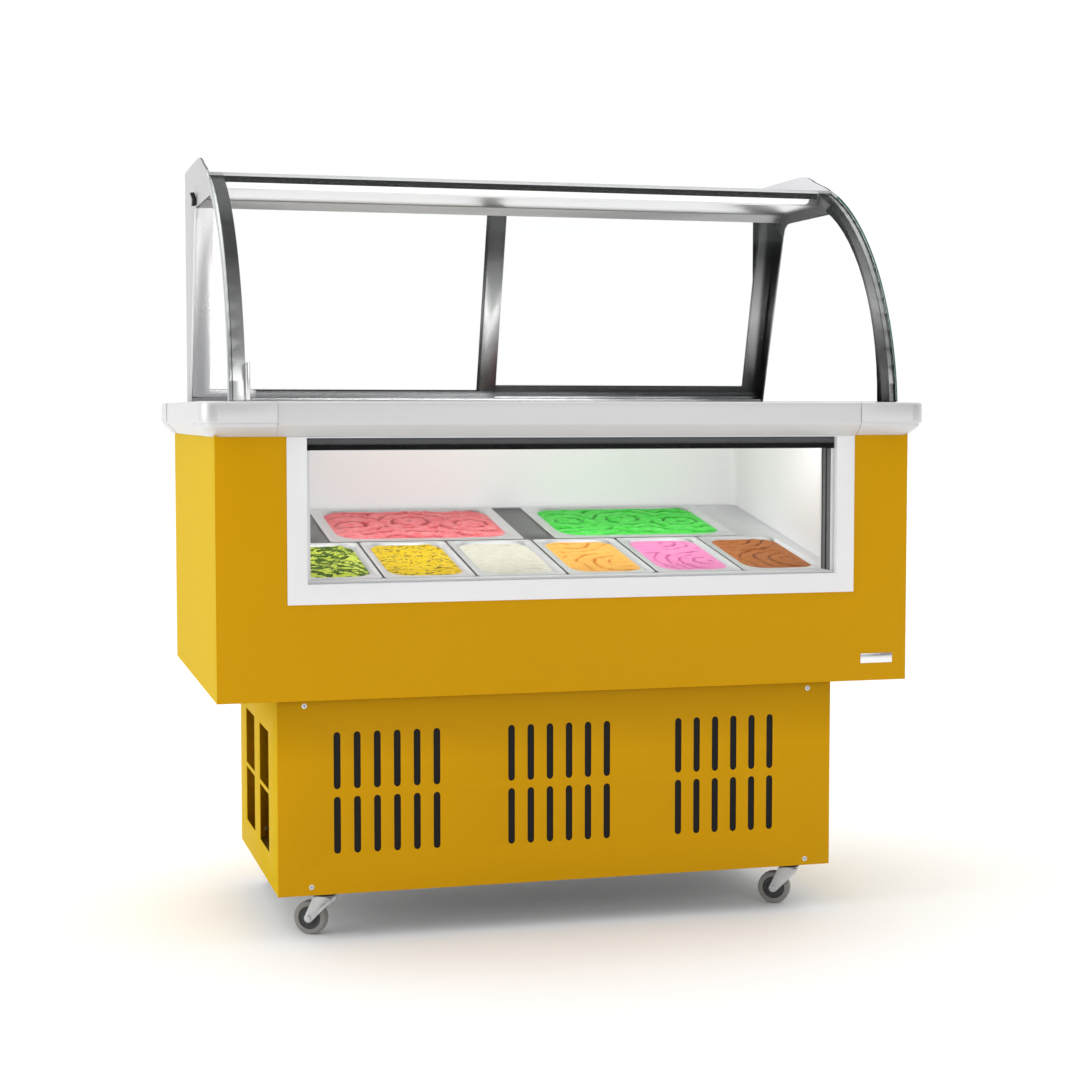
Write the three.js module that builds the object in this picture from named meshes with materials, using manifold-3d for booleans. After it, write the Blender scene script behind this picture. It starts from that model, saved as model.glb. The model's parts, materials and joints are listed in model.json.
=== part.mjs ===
// Ice cream dipping cabinet: an insulated upper cabinet with a front window and eight pans, a curved glass
// canopy with sliding rear doors, and a vented machine base on four swivel casters.
// Millimetres. X runs left to right as the customer sees it, Y runs front to back, Z is up, floor at z = 0.
import * as THREE from "three";
import { mergeVertices } from "three/addons/utils/BufferGeometryUtils.js";
import Module from "manifold-3d";

const wasm = await Module();
wasm.setup();

// ---------------------------------------------------------------- driving dimensions
const GAP = 0.3; // between parts that touch
const SHEET = 1.2; // sheet metal of the shell and base

const BODY_W = 1320;
const BODY_D = 756;
const BODY_Z0 = 437;
const RAIL_Z0 = 907.5; // bottom edge of the perimeter rail
const TOP_Z = 970; // top of the deck and of the rail
const FRONT = -BODY_D / 2;
const BACK = BODY_D / 2;
const SIDE = BODY_W / 2;
const behind = (d) => FRONT + d; // a distance behind the body's front face, as a y

const BASE = { x0: -554, x1: 506, y0: behind(4), y1: behind(533), z0: 85 };
const SLOT = { w: 12.5, h: 104, pitch: 36.6, columns: 6, group: 323, groups: 3, x: -32, z: [210, 327] };
const BAFFLE = { in: 52, z1: 402 }; // upright baffle on the tray, inside the left vents
const VENT = { w: 126, h: 108, y: [183, 383], z: [196, 312] }; // side openings, centres

const WALL = { side: 102, front: 73, rear: 94 }; // outside of the shell to the back of the liner
const LINER_T = 2;
const LINER_Z0 = 498;

const WINDOW = { x0: -498, x1: 513, z0: 645, z1: 905 }; // clear opening inside the white frame
const FRAME_W = 36;
const FRAME_PROUD = 3;
const SLEEVE_T = 2.5;
const PANE = 4;
const PANE_Y = [6, 54]; // front faces of the two panes, behind the body's front

const RAIL_OUT = 25;
const CAP_OUT = 27;
const CAP_LEN = 133; // along each wall, from the body's corner
const CAP_STEP = 3.5; // how far the cap's upright block stands out over its sloping foot

const ARC = { y: behind(495.4), z: 930.8, glass: 505.6, steel: 499.6 }; // front curve of the canopy
const INNER_ARC = { y: behind(428.4), z: 977.3, r: 409 }; // inner edge of the curved members
const GLASS_TOP_ANGLE = 69;
const END_X = [604, 634]; // inner and outer faces of a curved member
const PLATE_T = 4; // top plate and rear leg, flush with the outer face
const PLATE_Z = 1448; // top of the end frames
const GUSSET_Z = 1356;
const SHELF = { y0: behind(354), y1: behind(738), z0: 1377, z1: 1404 };

const DOOR = { lean: 15.5, t: 12, track: 16, stile: 36, bottom: 26, top: 22, length: 428, overlap: 18 };

const PAN_TILT = 10;
const PAN = { depth: 110, sheet: 1.2, taper: 5.5 };
const PAN_SHAPES = { front: { rim: 12, corner: 40 }, rear: { rim: 20, corner: 50 } };
const LIFT_PLAY = 5.5; // from a pan's wall to the edge of its hole
const FRONT_PANS = { count: 6, pitch: 175.6, w: 171, x: 7, v0: 7.1, v1: 286.3 };
const REAR_PANS = { w: 393, x: [-200, 257], v0: 293.5, v1: 586 };

const CASTER = { r: 31, w: 22, trail: 26, yaw: 31, bore: 4.08, axle: 4 };
const CASTER_X = [-463, 442];
const CASTER_Y = [behind(55), behind(480)];

// ---------------------------------------------------------------- colours
const COLOURS = {
  yellow: 0xcc9600,
  white: 0xf2f2f0,
  steel: 0xc4c5c6,
  dark_steel: 0x6d6f72,
  aluminium: 0xcfd0d3,
  galvanised: 0xa8abad,
  foam: 0xe6dba6,
  black: 0x17171a,
  glass: 0xcfe3dd,
  diffuser: 0xf7f7f4,
  rubber: 0xb2aea8,
  copper: 0x2a2b2d,
};
const FLAVOURS = [0x9db820, 0xe9cf12, 0xd9d3c2, 0xe8982a, 0xe57fc0, 0x9a4f1b, 0xee5560, 0x2bd43a];

// ---------------------------------------------------------------- shape helpers
const deg = THREE.MathUtils.degToRad;

function toSolid(geometry) {
  const g = geometry.clone();
  g.deleteAttribute("normal");
  g.deleteAttribute("uv");
  const merged = mergeVertices(g, 1e-3);
  return new wasm.Manifold(
    new wasm.Mesh({
      numProp: 3,
      vertProperties: new Float32Array(merged.attributes.position.array),
      triVerts: new Uint32Array(merged.index.array),
    }),
  );
}

function toGeometry(solid) {
  const mesh = solid.getMesh();
  const g = new THREE.BufferGeometry();
  g.setAttribute("position", new THREE.BufferAttribute(new Float32Array(mesh.vertProperties), 3));
  g.setIndex(new THREE.BufferAttribute(new Uint32Array(mesh.triVerts), 1));
  const flat = g.toNonIndexed();
  flat.computeVertexNormals();
  return flat;
}

const join = (...shapes) => toGeometry(shapes.map(toSolid).reduce((a, b) => a.add(b)));
const cut = (shape, ...tools) => toGeometry(tools.map(toSolid).reduce((a, b) => a.subtract(b), toSolid(shape)));
const common = (a, b) => toGeometry(toSolid(a).intersect(toSolid(b)));

function box(x0, x1, y0, y1, z0, z1) {
  const g = new THREE.BoxGeometry(x1 - x0, y1 - y0, z1 - z0);
  return g.translate((x0 + x1) / 2, (y0 + y1) / 2, (z0 + z1) / 2);
}

function shapeOf(outline, holes = []) {
  const shape = new THREE.Shape(outline.map(([a, b]) => new THREE.Vector2(a, b)));
  for (const hole of holes) {
    shape.holes.push(new THREE.Path(hole.map(([a, b]) => new THREE.Vector2(a, b))));
  }
  return shape;
}

// Extrusions of an outline: drawn in (y, z) and run along X, drawn in (x, z) and run along Y, or in (x, y).
function alongX(outline, x0, x1, holes) {
  const g = new THREE.ExtrudeGeometry(shapeOf(outline, holes), { depth: x1 - x0, bevelEnabled: false });
  const turn = new THREE.Matrix4().makeBasis(
    new THREE.Vector3(0, 1, 0),
    new THREE.Vector3(0, 0, 1),
    new THREE.Vector3(1, 0, 0),
  );
  return g.applyMatrix4(turn).translate(x0, 0, 0);
}

function alongY(outline, y0, y1, holes) {
  const g = new THREE.ExtrudeGeometry(shapeOf(outline, holes), { depth: y1 - y0, bevelEnabled: false });
  const turn = new THREE.Matrix4().makeBasis(
    new THREE.Vector3(1, 0, 0),
    new THREE.Vector3(0, 0, 1),
    new THREE.Vector3(0, -1, 0),
  );
  return g.applyMatrix4(turn).translate(0, y1, 0);
}

function alongZ(outline, z0, z1, holes) {
  const g = new THREE.ExtrudeGeometry(shapeOf(outline, holes), { depth: z1 - z0, bevelEnabled: false });
  return g.translate(0, 0, z0);
}

const rect = (a0, a1, b0, b1) => [
  [a0, b0],
  [a1, b0],
  [a1, b1],
  [a0, b1],
];

function arc(cx, cy, r, from, to, steps) {
  const points = [];
  for (let i = 0; i <= steps; i += 1) {
    const a = deg(from + ((to - from) * i) / steps);
    points.push([cx + r * Math.cos(a), cy + r * Math.sin(a)]);
  }
  return points;
}

function roundRect(a0, a1, b0, b1, r, steps) {
  return [
    ...arc(a1 - r, b0 + r, r, -90, 0, steps),
    ...arc(a1 - r, b1 - r, r, 0, 90, steps),
    ...arc(a0 + r, b1 - r, r, 90, 180, steps),
    ...arc(a0 + r, b0 + r, r, 180, 270, steps),
  ];
}

function slotOutline(x, z, w, h, steps) {
  const r = w / 2;
  return [...arc(x, z + h / 2 - r, r, 0, 180, steps), ...arc(x, z - h / 2 + r, r, 180, 360, steps)];
}

// A closed skin through a run of loops with equal point counts; both end loops are capped flat.
function loft(loops) {
  const count = loops[0].points.length;
  const positions = [];
  const index = [];
  for (const loop of loops) {
    for (const [a, b] of loop.points) {
      positions.push(a, b, loop.z);
    }
  }
  const cap = (ring, flip) => {
    const loop = loops[ring];
    const centre = positions.length / 3;
    const mean = loop.points.reduce(([sa, sb], [a, b]) => [sa + a / count, sb + b / count], [0, 0]);
    positions.push(mean[0], mean[1], loop.z);
    for (let i = 0; i < count; i += 1) {
      const p = ring * count + i;
      const q = ring * count + ((i + 1) % count);
      index.push(...(flip ? [centre, q, p] : [centre, p, q]));
    }
  };
  for (let k = 0; k + 1 < loops.length; k += 1) {
    for (let i = 0; i < count; i += 1) {
      const p = k * count + i;
      const q = k * count + ((i + 1) % count);
      index.push(p, q, q + count, p, q + count, p + count);
    }
  }
  cap(0, true);
  cap(loops.length - 1, false);
  const g = new THREE.BufferGeometry();
  g.setAttribute("position", new THREE.BufferAttribute(new Float32Array(positions), 3));
  g.setIndex(index);
  const flat = g.toNonIndexed();
  flat.computeVertexNormals();
  return flat;
}

function cylinder(axis, r, from, to, a, b, steps) {
  const g = new THREE.CylinderGeometry(r, r, to - from, steps);
  const mid = (from + to) / 2;
  if (axis === "x") return g.rotateZ(Math.PI / 2).translate(mid, a, b);
  if (axis === "y") return g.translate(a, mid, b);
  return g.rotateX(Math.PI / 2).translate(a, b, mid);
}

const group = new THREE.Group();
group.name = "dipping_cabinet";

function part(name, geometry, colour, look = {}) {
  const material = new THREE.MeshStandardMaterial({ color: colour, roughness: 0.45, metalness: 0, ...look });
  material.name = name;
  const mesh = new THREE.Mesh(geometry, material);
  mesh.name = name;
  group.add(mesh);
  return mesh;
}
const METAL = { metalness: 0.9, roughness: 0.35 };
const CLEAR = { transparent: true, opacity: 0.3, roughness: 0.05 };

// ---------------------------------------------------------------- machine base
const wallIn = SHEET + GAP;

function casterPlates() {
  const plates = [];
  for (const x of CASTER_X) {
    for (const y of CASTER_Y) {
      plates.push(box(x - 30, x + 30, y - 30, y + 30, BASE.z0 - 3.2, BASE.z0 + 1));
    }
  }
  return plates;
}
part(
  "base_tray",
  join(
    box(BASE.x0 + wallIn, BASE.x1 - wallIn, BASE.y0 + wallIn, BASE.y1 - wallIn, BASE.z0, BASE.z0 + SHEET),
    box(
      BASE.x0 + BAFFLE.in,
      BASE.x0 + BAFFLE.in + SHEET,
      BASE.y0 + wallIn + 8,
      BASE.y1 - wallIn - 8,
      BASE.z0 + SHEET / 2,
      BAFFLE.z1,
    ),
    ...casterPlates(),
  ),
  COLOURS.galvanised,
  METAL,
);

const slots = [];
for (let g = 0; g < SLOT.groups; g += 1) {
  const centre = SLOT.x + (g - (SLOT.groups - 1) / 2) * SLOT.group;
  for (let c = 0; c < SLOT.columns; c += 1) {
    const x = centre + (c - (SLOT.columns - 1) / 2) * SLOT.pitch;
    for (const z of SLOT.z) {
      slots.push(slotOutline(x, z, SLOT.w, SLOT.h, 4));
    }
  }
}
const baseTop = BODY_Z0 - GAP;
part(
  "base_front_panel",
  alongY(rect(BASE.x0, BASE.x1, BASE.z0, baseTop), BASE.y0, BASE.y0 + SHEET, slots),
  COLOURS.yellow,
);

// Left, rear and right walls of the base, folded from one sheet.
const sideVents = [];
for (const y of VENT.y) {
  for (const z of VENT.z) {
    sideVents.push(
      box(-SIDE, SIDE, behind(y) - VENT.w / 2, behind(y) + VENT.w / 2, z - VENT.h / 2, z + VENT.h / 2),
    );
  }
}
const rearSlots = [];
for (let c = 0; c < 8; c += 1) {
  const x = BASE.x0 + 240 + c * SLOT.pitch;
  rearSlots.push(alongY(slotOutline(x, 270, SLOT.w, 150, 3), BASE.y1 - 20, BASE.y1 + 20));
}
part(
  "base_housing",
  cut(
    box(BASE.x0, BASE.x1, BASE.y0 + wallIn, BASE.y1, BASE.z0, baseTop),
    box(BASE.x0 + SHEET, BASE.x1 - SHEET, BASE.y0, BASE.y1 - SHEET, BASE.z0 - 5, baseTop + 5),
    ...sideVents,
    ...rearSlots,
  ),
  COLOURS.yellow,
);

// Refrigeration machinery standing on the tray.
const FLOOR_IN = BASE.z0 + SHEET + GAP;
const COMPRESSOR = { x: 120, y: behind(330), r: 78, h: 178 };
const shell = [
  [0, 14],
  [58, 14],
  [72, 22],
  [78, 40],
  [78, 92],
  [81, 94],
  [81, 100],
  [77, 102],
  [74, 140],
  [60, 166],
  [34, 177],
  [0, COMPRESSOR.h],
].map(([r, z]) => new THREE.Vector2(r, z));
part(
  "compressor",
  join(
    new THREE.LatheGeometry(shell, 20).rotateX(Math.PI / 2).translate(COMPRESSOR.x, COMPRESSOR.y, FLOOR_IN),
    box(
      COMPRESSOR.x - 95,
      COMPRESSOR.x + 95,
      COMPRESSOR.y - 60,
      COMPRESSOR.y + 60,
      FLOOR_IN + 12,
      FLOOR_IN + 16,
    ),
    ...[-80, 80].flatMap((dx) =>
      [-45, 45].map((dy) =>
        cylinder("z", 11, FLOOR_IN, FLOOR_IN + 14, COMPRESSOR.x + dx, COMPRESSOR.y + dy, 10),
      ),
    ),
  ),
  COLOURS.copper,
);

const COIL = { x0: 410, x1: 464, y0: behind(110), y1: behind(400), z1: 330 };
const FAN = { y: behind(255), z: 208, r: 96, hub: 24, x0: 378, x1: 390 };
part(
  "condenser",
  join(
    box(COIL.x0, COIL.x1, COIL.y0, COIL.y1, FLOOR_IN, COIL.z1),
    cut(
      box(366, COIL.x0 + 1, COIL.y0, COIL.y1, FLOOR_IN, COIL.z1),
      cylinder("x", FAN.r + 8, 360, COIL.x0 + 5, FAN.y, FAN.z, 24),
    ),
    cylinder("x", 30, FAN.x1 + 1.5, COIL.x0 + 2, FAN.y, FAN.z, 16),
  ),
  COLOURS.dark_steel,
  METAL,
);
const blades = [];
for (let i = 0; i < 5; i += 1) {
  const blade = new THREE.BoxGeometry(2.4, 46, 76);
  blade.rotateZ(deg(9)).translate((FAN.x0 + FAN.x1) / 2, 0, FAN.hub + 32);
  blades.push(blade.rotateX(deg(i * 72)).translate(0, FAN.y, FAN.z));
}
part("fan_blade", join(cylinder("x", FAN.hub, FAN.x0, FAN.x1, FAN.y, FAN.z, 16), ...blades), COLOURS.black);

// ---------------------------------------------------------------- upper cabinet shell
const shellTop = TOP_Z - 4;
const sleeve = {
  x0: WINDOW.x0 - SLEEVE_T,
  x1: WINDOW.x1 + SLEEVE_T,
  z0: WINDOW.z0 - SLEEVE_T,
  z1: WINDOW.z1 + SLEEVE_T,
};
const windowCut = (y0, y1) =>
  box(sleeve.x0 - GAP, sleeve.x1 + GAP, y0, y1, sleeve.z0 - GAP, sleeve.z1 + GAP);

part(
  "front_panel",
  cut(
    box(-SIDE, SIDE, FRONT, FRONT + SHEET, BODY_Z0, shellTop),
    windowCut(FRONT - 5, FRONT + 5),
  ),
  COLOURS.yellow,
);
for (const [side, name] of [
  [-1, "side_panel_left"],
  [1, "side_panel_right"],
]) {
  const xs = [side * (SIDE - SHEET), side * SIDE].sort((a, b) => a - b);
  part(name, box(xs[0], xs[1], FRONT + wallIn, BACK - wallIn, BODY_Z0, shellTop), COLOURS.yellow);
}
// Rear wall and floor of the shell, folded from one sheet.
part(
  "rear_panel",
  join(
    box(-SIDE, SIDE, BACK - SHEET, BACK, BODY_Z0, shellTop),
    box(-SIDE + wallIn, SIDE - wallIn, FRONT + wallIn, BACK - SHEET / 2, BODY_Z0, BODY_Z0 + SHEET),
  ),
  COLOURS.yellow,
);

const liner = {
  x: SIDE - WALL.side,
  y0: behind(WALL.front),
  y1: BACK - WALL.rear,
};
part(
  "insulation",
  cut(
    box(
      -SIDE + wallIn,
      SIDE - wallIn,
      FRONT + wallIn,
      BACK - wallIn,
      BODY_Z0 + wallIn,
      shellTop - 1,
    ),
    box(-liner.x - GAP, liner.x + GAP, liner.y0 - GAP, liner.y1 + GAP, LINER_Z0 - GAP, TOP_Z),
    windowCut(FRONT - 5, liner.y0 + 5),
  ),
  COLOURS.foam,
);
part(
  "inner_liner",
  cut(
    box(-liner.x, liner.x, liner.y0, liner.y1, LINER_Z0, shellTop - 1),
    box(
      -liner.x + LINER_T,
      liner.x - LINER_T,
      liner.y0 + LINER_T,
      liner.y1 - LINER_T,
      LINER_Z0 + LINER_T,
      TOP_Z,
    ),
    windowCut(liner.y0 - 5, liner.y0 + 5),
  ),
  COLOURS.white,
);

// ---------------------------------------------------------------- front window
const clear = rect(WINDOW.x0, WINDOW.x1, WINDOW.z0, WINDOW.z1);
part(
  "window_frame",
  join(
    alongY(
      rect(WINDOW.x0 - FRAME_W, WINDOW.x1 + FRAME_W, WINDOW.z0 - FRAME_W, WINDOW.z1 + 2),
      FRONT - FRAME_PROUD,
      FRONT - GAP,
      [clear],
    ),
    alongY(rect(sleeve.x0, sleeve.x1, sleeve.z0, sleeve.z1), FRONT - 1, liner.y0 + LINER_T, [clear]),
  ),
  COLOURS.white,
);
const inWindow = (y0, t) =>
  box(WINDOW.x0 + GAP, WINDOW.x1 - GAP, y0, y0 + t, WINDOW.z0 + GAP, WINDOW.z1 - GAP);
part("window_glass_outer", inWindow(behind(PANE_Y[0]), PANE), COLOURS.glass, CLEAR);
part("window_glass_inner", inWindow(behind(PANE_Y[1]), PANE), COLOURS.glass, CLEAR);
part(
  "window_spacer",
  alongY(
    rect(WINDOW.x0 + GAP, WINDOW.x1 - GAP, WINDOW.z0 + GAP, WINDOW.z1 - GAP),
    behind(PANE_Y[0] + PANE + GAP),
    behind(PANE_Y[1] - GAP),
    [rect(WINDOW.x0 + 7, WINDOW.x1 - 7, WINDOW.z0 + 4, WINDOW.z1 - 22)],
  ),
  COLOURS.black,
);

// ---------------------------------------------------------------- canopy geometry
const lean = deg(DOOR.lean);
const DOOR_Y0 = behind(697.3); // front face of the front door at the deck
// A point n behind the front door's face and w up the sloping door plane, as (y, z).
const slope = (n, w) => [
  DOOR_Y0 + n * Math.cos(lean) - w * Math.sin(lean),
  TOP_Z + 0.6 + n * Math.sin(lean) + w * Math.cos(lean),
];
// The same line n behind the door face, met at height z.
const slopeAt = (n, z) => {
  const [y, z0] = slope(n, 0);
  return [y - (z - z0) * Math.tan(lean), z];
};

// ---------------------------------------------------------------- deck with the door track
const OPENING = { x: 545, y0: behind(95), y1: behind(640), r: 20 };
const throat = (grow, z0, z1) =>
  alongZ(
    roundRect(
      -OPENING.x - grow,
      OPENING.x + grow,
      OPENING.y0 - grow,
      OPENING.y1 + grow,
      OPENING.r + grow,
      4,
    ),
    z0,
    z1,
  );
const plateIn = END_X[1] - PLATE_T; // inner face of the top plates and rear legs
const trackEnd = plateIn - GAP;
const trackWall = (n0, n1, w) =>
  alongX([slopeAt(n0, TOP_Z - 1), slopeAt(n1, TOP_Z - 1), slope(n1, w), slope(n0, w)], -trackEnd, trackEnd);
const REAR_RISE = 7; // the rear track's floor stands higher than the front one's
part(
  "deck",
  cut(
    join(
      box(-SIDE, SIDE, FRONT, BACK, shellTop + GAP, TOP_Z),
      throat(SHEET, TOP_Z - 34, TOP_Z - 1),
      trackWall(-5.5, -2, 11),
      trackWall(DOOR.t + 1, DOOR.track - 1, 11),
      trackWall(DOOR.track - 1, DOOR.track + DOOR.t + 3, REAR_RISE - 1),
      trackWall(DOOR.track + DOOR.t + 1, DOOR.track + DOOR.t + 4, 16),
    ),
    throat(0, TOP_Z - 60, TOP_Z + 20),
  ),
  COLOURS.steel,
  METAL,
);

// ---------------------------------------------------------------- perimeter rail and corner caps
const ringLoop = (out, z, r) => ({
  z,
  points: roundRect(-SIDE - out, SIDE + out, FRONT - out, BACK + out, r, 6),
});
function ring(out, r) {
  const skin = loft([
    ringLoop(out - 21, RAIL_Z0, r),
    ringLoop(out, RAIL_Z0 + 21, r),
    ringLoop(out, TOP_Z - 5, r),
    ringLoop(out - 1.5, TOP_Z - 1.5, r),
    ringLoop(out - 5, TOP_Z, r),
  ]);
  return cut(skin, box(-SIDE - GAP, SIDE + GAP, FRONT - GAP, BACK + GAP, RAIL_Z0 - 5, TOP_Z + 5));
}
const railRing = cut(
  ring(RAIL_OUT, 20),
  box(-2000, 2000, FRONT - 21, FRONT - 4, RAIL_Z0 + 24, TOP_Z - 6),
  box(-2000, 2000, BACK + 4, BACK + 21, RAIL_Z0 + 24, TOP_Z - 6),
  box(-SIDE - 21, -SIDE - 4, -2000, 2000, RAIL_Z0 + 24, TOP_Z - 6),
  box(SIDE + 4, SIDE + 21, -2000, 2000, RAIL_Z0 + 24, TOP_Z - 6),
);
const railX = SIDE - CAP_LEN + RAIL_OUT;
const railY = BACK - CAP_LEN + RAIL_OUT;
const RAILS = {
  rail_front: box(-railX + GAP, railX - GAP, -1000, FRONT, 900, 1000),
  rail_rear: box(-railX + GAP, railX - GAP, BACK, 1000, 900, 1000),
  rail_left: box(-1000, -SIDE, -railY + GAP, railY - GAP, 900, 1000),
  rail_right: box(SIDE, 1000, -railY + GAP, railY - GAP, 900, 1000),
};
for (const [name, keep] of Object.entries(RAILS)) {
  part(name, common(railRing, keep), COLOURS.aluminium, METAL);
}
const capSkin = loft([
  ringLoop(CAP_OUT - 21, RAIL_Z0, 30),
  ringLoop(CAP_OUT - CAP_STEP, RAIL_Z0 + 21 - CAP_STEP, 30),
  ringLoop(CAP_OUT - CAP_STEP, RAIL_Z0 + 23, 30),
  ringLoop(CAP_OUT - 1.5, RAIL_Z0 + 23, 30),
  ringLoop(CAP_OUT, RAIL_Z0 + 25, 30),
  ringLoop(CAP_OUT, TOP_Z - 5, 30),
  ringLoop(CAP_OUT - 1.5, TOP_Z - 1.5, 30),
  ringLoop(CAP_OUT - 5, TOP_Z, 30),
]);
const capRing = cut(
  capSkin,
  box(-SIDE - GAP, SIDE + GAP, FRONT - GAP, BACK + GAP, RAIL_Z0 - 5, TOP_Z + 5),
);
const CAPS = {
  corner_cap_front_left: [-1, -1],
  corner_cap_front_right: [1, -1],
  corner_cap_rear_left: [-1, 1],
  corner_cap_rear_right: [1, 1],
};
for (const [name, [sx, sy]] of Object.entries(CAPS)) {
  const xs = [sx * railX, sx * 1000].sort((a, b) => a - b);
  const ys = [sy * railY, sy * 1000].sort((a, b) => a - b);
  part(name, common(capRing, box(xs[0], xs[1], ys[0], ys[1], 900, 1000)), COLOURS.aluminium, METAL);
}

// ---------------------------------------------------------------- canopy end frames, glass and shelf
const footAngle = (r) => THREE.MathUtils.radToDeg(Math.asin((TOP_Z + GAP - ARC.z) / r));
// The arc is drawn with angles from the rear, so a front angle a is 180 - a.
const frontArc = (r, from, to, steps) => arc(ARC.y, ARC.z, r, 180 - from, 180 - to, steps);
const LEG = { y0: behind(690), y1: behind(748), top: behind(571) };
const innerArc = (from, to, steps) => arc(INNER_ARC.y, INNER_ARC.z, INNER_ARC.r, 180 - from, 180 - to, steps);
const innerFoot = THREE.MathUtils.radToDeg(Math.asin((TOP_Z + GAP - INNER_ARC.z) / INNER_ARC.r));
const crown = [
  [398, 1429],
  [415, 1436],
  [438, 1442.5],
  [465, PLATE_Z - 1.2],
  [490, PLATE_Z],
].map(([d, z]) => [behind(d), z]);
const plateOutline = [
  ...frontArc(ARC.steel, footAngle(ARC.steel), GLASS_TOP_ANGLE + 0.4, 16),
  ...frontArc(ARC.glass, GLASS_TOP_ANGLE + 0.4, 75.5, 3),
  ...crown,
  [LEG.y1 - 6, PLATE_Z],
  [LEG.y1, PLATE_Z - 6],
  [LEG.y1, TOP_Z + GAP],
  [LEG.y0, TOP_Z + GAP],
  [LEG.top, GUSSET_Z - 26],
  [LEG.top - 7, GUSSET_Z - 10],
  [LEG.top - 20, GUSSET_Z - 1.5],
  [LEG.top - 30, GUSSET_Z],
  ...innerArc(67.5, innerFoot, 14),
];
const memberOutline = [
  ...frontArc(ARC.steel, footAngle(ARC.steel), GLASS_TOP_ANGLE, 16),
  ...innerArc(68.5, innerFoot, 14),
];
function endFrame(side) {
  const across = (near, far) => [side * near, side * far].sort((a, b) => a - b);
  const [p0, p1] = across(plateIn, END_X[1]);
  const [m0, m1] = across(END_X[0], END_X[1]);
  return join(alongX(plateOutline, p0, p1), alongX(memberOutline, m0, m1));
}
part("end_frame_left", endFrame(-1), COLOURS.steel, METAL);
part("end_frame_right", endFrame(1), COLOURS.steel, METAL);

const glassFoot = footAngle(ARC.glass) + 0.1;
part(
  "canopy_glass",
  alongX(
    [
      ...frontArc(ARC.glass, glassFoot, GLASS_TOP_ANGLE, 22),
      ...frontArc(ARC.steel + GAP, GLASS_TOP_ANGLE, glassFoot, 22),
    ],
    -END_X[1],
    END_X[1],
  ),
  COLOURS.glass,
  CLEAR,
);

// Folded shelf: a flat box over the counter, with a sloping channel that guides the door heads.
const shelfEnd = plateIn - GAP;
const headZ = 1361; // lower lip of the head channel
const t = SHEET;
const boxFloor = SHELF.z0;
const shelfOutline = [
  [SHELF.y0, SHELF.z1],
  [SHELF.y0, SHELF.z1 - 4],
  [SHELF.y0 + 22, SHELF.z1 - 4],
  [SHELF.y0 + 26, boxFloor],
  [slopeAt(-6, boxFloor)[0], boxFloor],
  slopeAt(-6, headZ),
  slopeAt(-6 + t, headZ),
  slopeAt(-6 + t, SHELF.z1 - t),
  slopeAt(DOOR.track + DOOR.t + 4, SHELF.z1 - t),
  slopeAt(DOOR.track + DOOR.t + 4, headZ + 8),
  slopeAt(DOOR.track + DOOR.t + 6, headZ + 8),
  slopeAt(DOOR.track + DOOR.t + 6, SHELF.z1 - t),
  [SHELF.y1 - t, SHELF.z1 - t],
  [SHELF.y1 - t, SHELF.z1 - 18],
  [SHELF.y1, SHELF.z1 - 18],
  [SHELF.y1, SHELF.z1],
];
const shelfHollow = [
  [SHELF.y0 + 26, SHELF.z1 - 5],
  [SHELF.y0 + 29, boxFloor + t],
  slopeAt(-6 - t, boxFloor + t),
  slopeAt(-6 - t, SHELF.z1 - t),
  [SHELF.y0 + 26, SHELF.z1 - t],
];
const aroundMember = ([x0, x1]) =>
  alongX(
    [...frontArc(ARC.glass + 2, 40, 80, 12), ...innerArc(80, 40, 12).map(([y, z]) => [y + GAP, z - GAP])],
    x0 - GAP,
    x1 + GAP,
  );
part(
  "top_shelf",
  cut(
    alongX(shelfOutline, -shelfEnd, shelfEnd, [shelfHollow]),
    aroundMember(END_X),
    aroundMember([-END_X[1], -END_X[0]]),
  ),
  COLOURS.steel,
  METAL,
);
const stripTop = SHELF.z1 - 4 - GAP;
part(
  "light_strip",
  alongX(
    [
      [SHELF.y0 + 3, stripTop],
      [SHELF.y0 + 1.5, stripTop - 6],
      [SHELF.y0 + 4, stripTop - 12],
      [SHELF.y0 + 11, stripTop - 17],
      [SHELF.y0 + 22, stripTop - 19],
      [SHELF.y0 + 25 - GAP, stripTop - 19],
      [SHELF.y0 + 22 - GAP, stripTop],
    ],
    -END_X[0] + 1,
    END_X[0] - 1,
  ),
  COLOURS.diffuser,
);

// Rocker for the canopy light, on the outside of the left end frame.
const ROCKER = { x: -END_X[1] - GAP, y: behind(520), z: 1372, w: 16, h: 26, tip: 7 };
const tipped = ([dx, dz]) => [
  ROCKER.x + dx * Math.cos(deg(ROCKER.tip)) - dz * Math.sin(deg(ROCKER.tip)),
  ROCKER.z + dx * Math.sin(deg(ROCKER.tip)) + dz * Math.cos(deg(ROCKER.tip)),
];
part(
  "light_switch_rocker",
  alongY(
    [
      [0, 0],
      [-2.6, -ROCKER.h / 2],
      [-11, -ROCKER.h / 2],
      [-8.5, 0],
      [-11, ROCKER.h / 2],
      [-2.6, ROCKER.h / 2],
    ]
      .map(tipped)
      .toReversed(),
    ROCKER.y - ROCKER.w / 2,
    ROCKER.y + ROCKER.w / 2,
  ),
  COLOURS.black,
);

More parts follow.
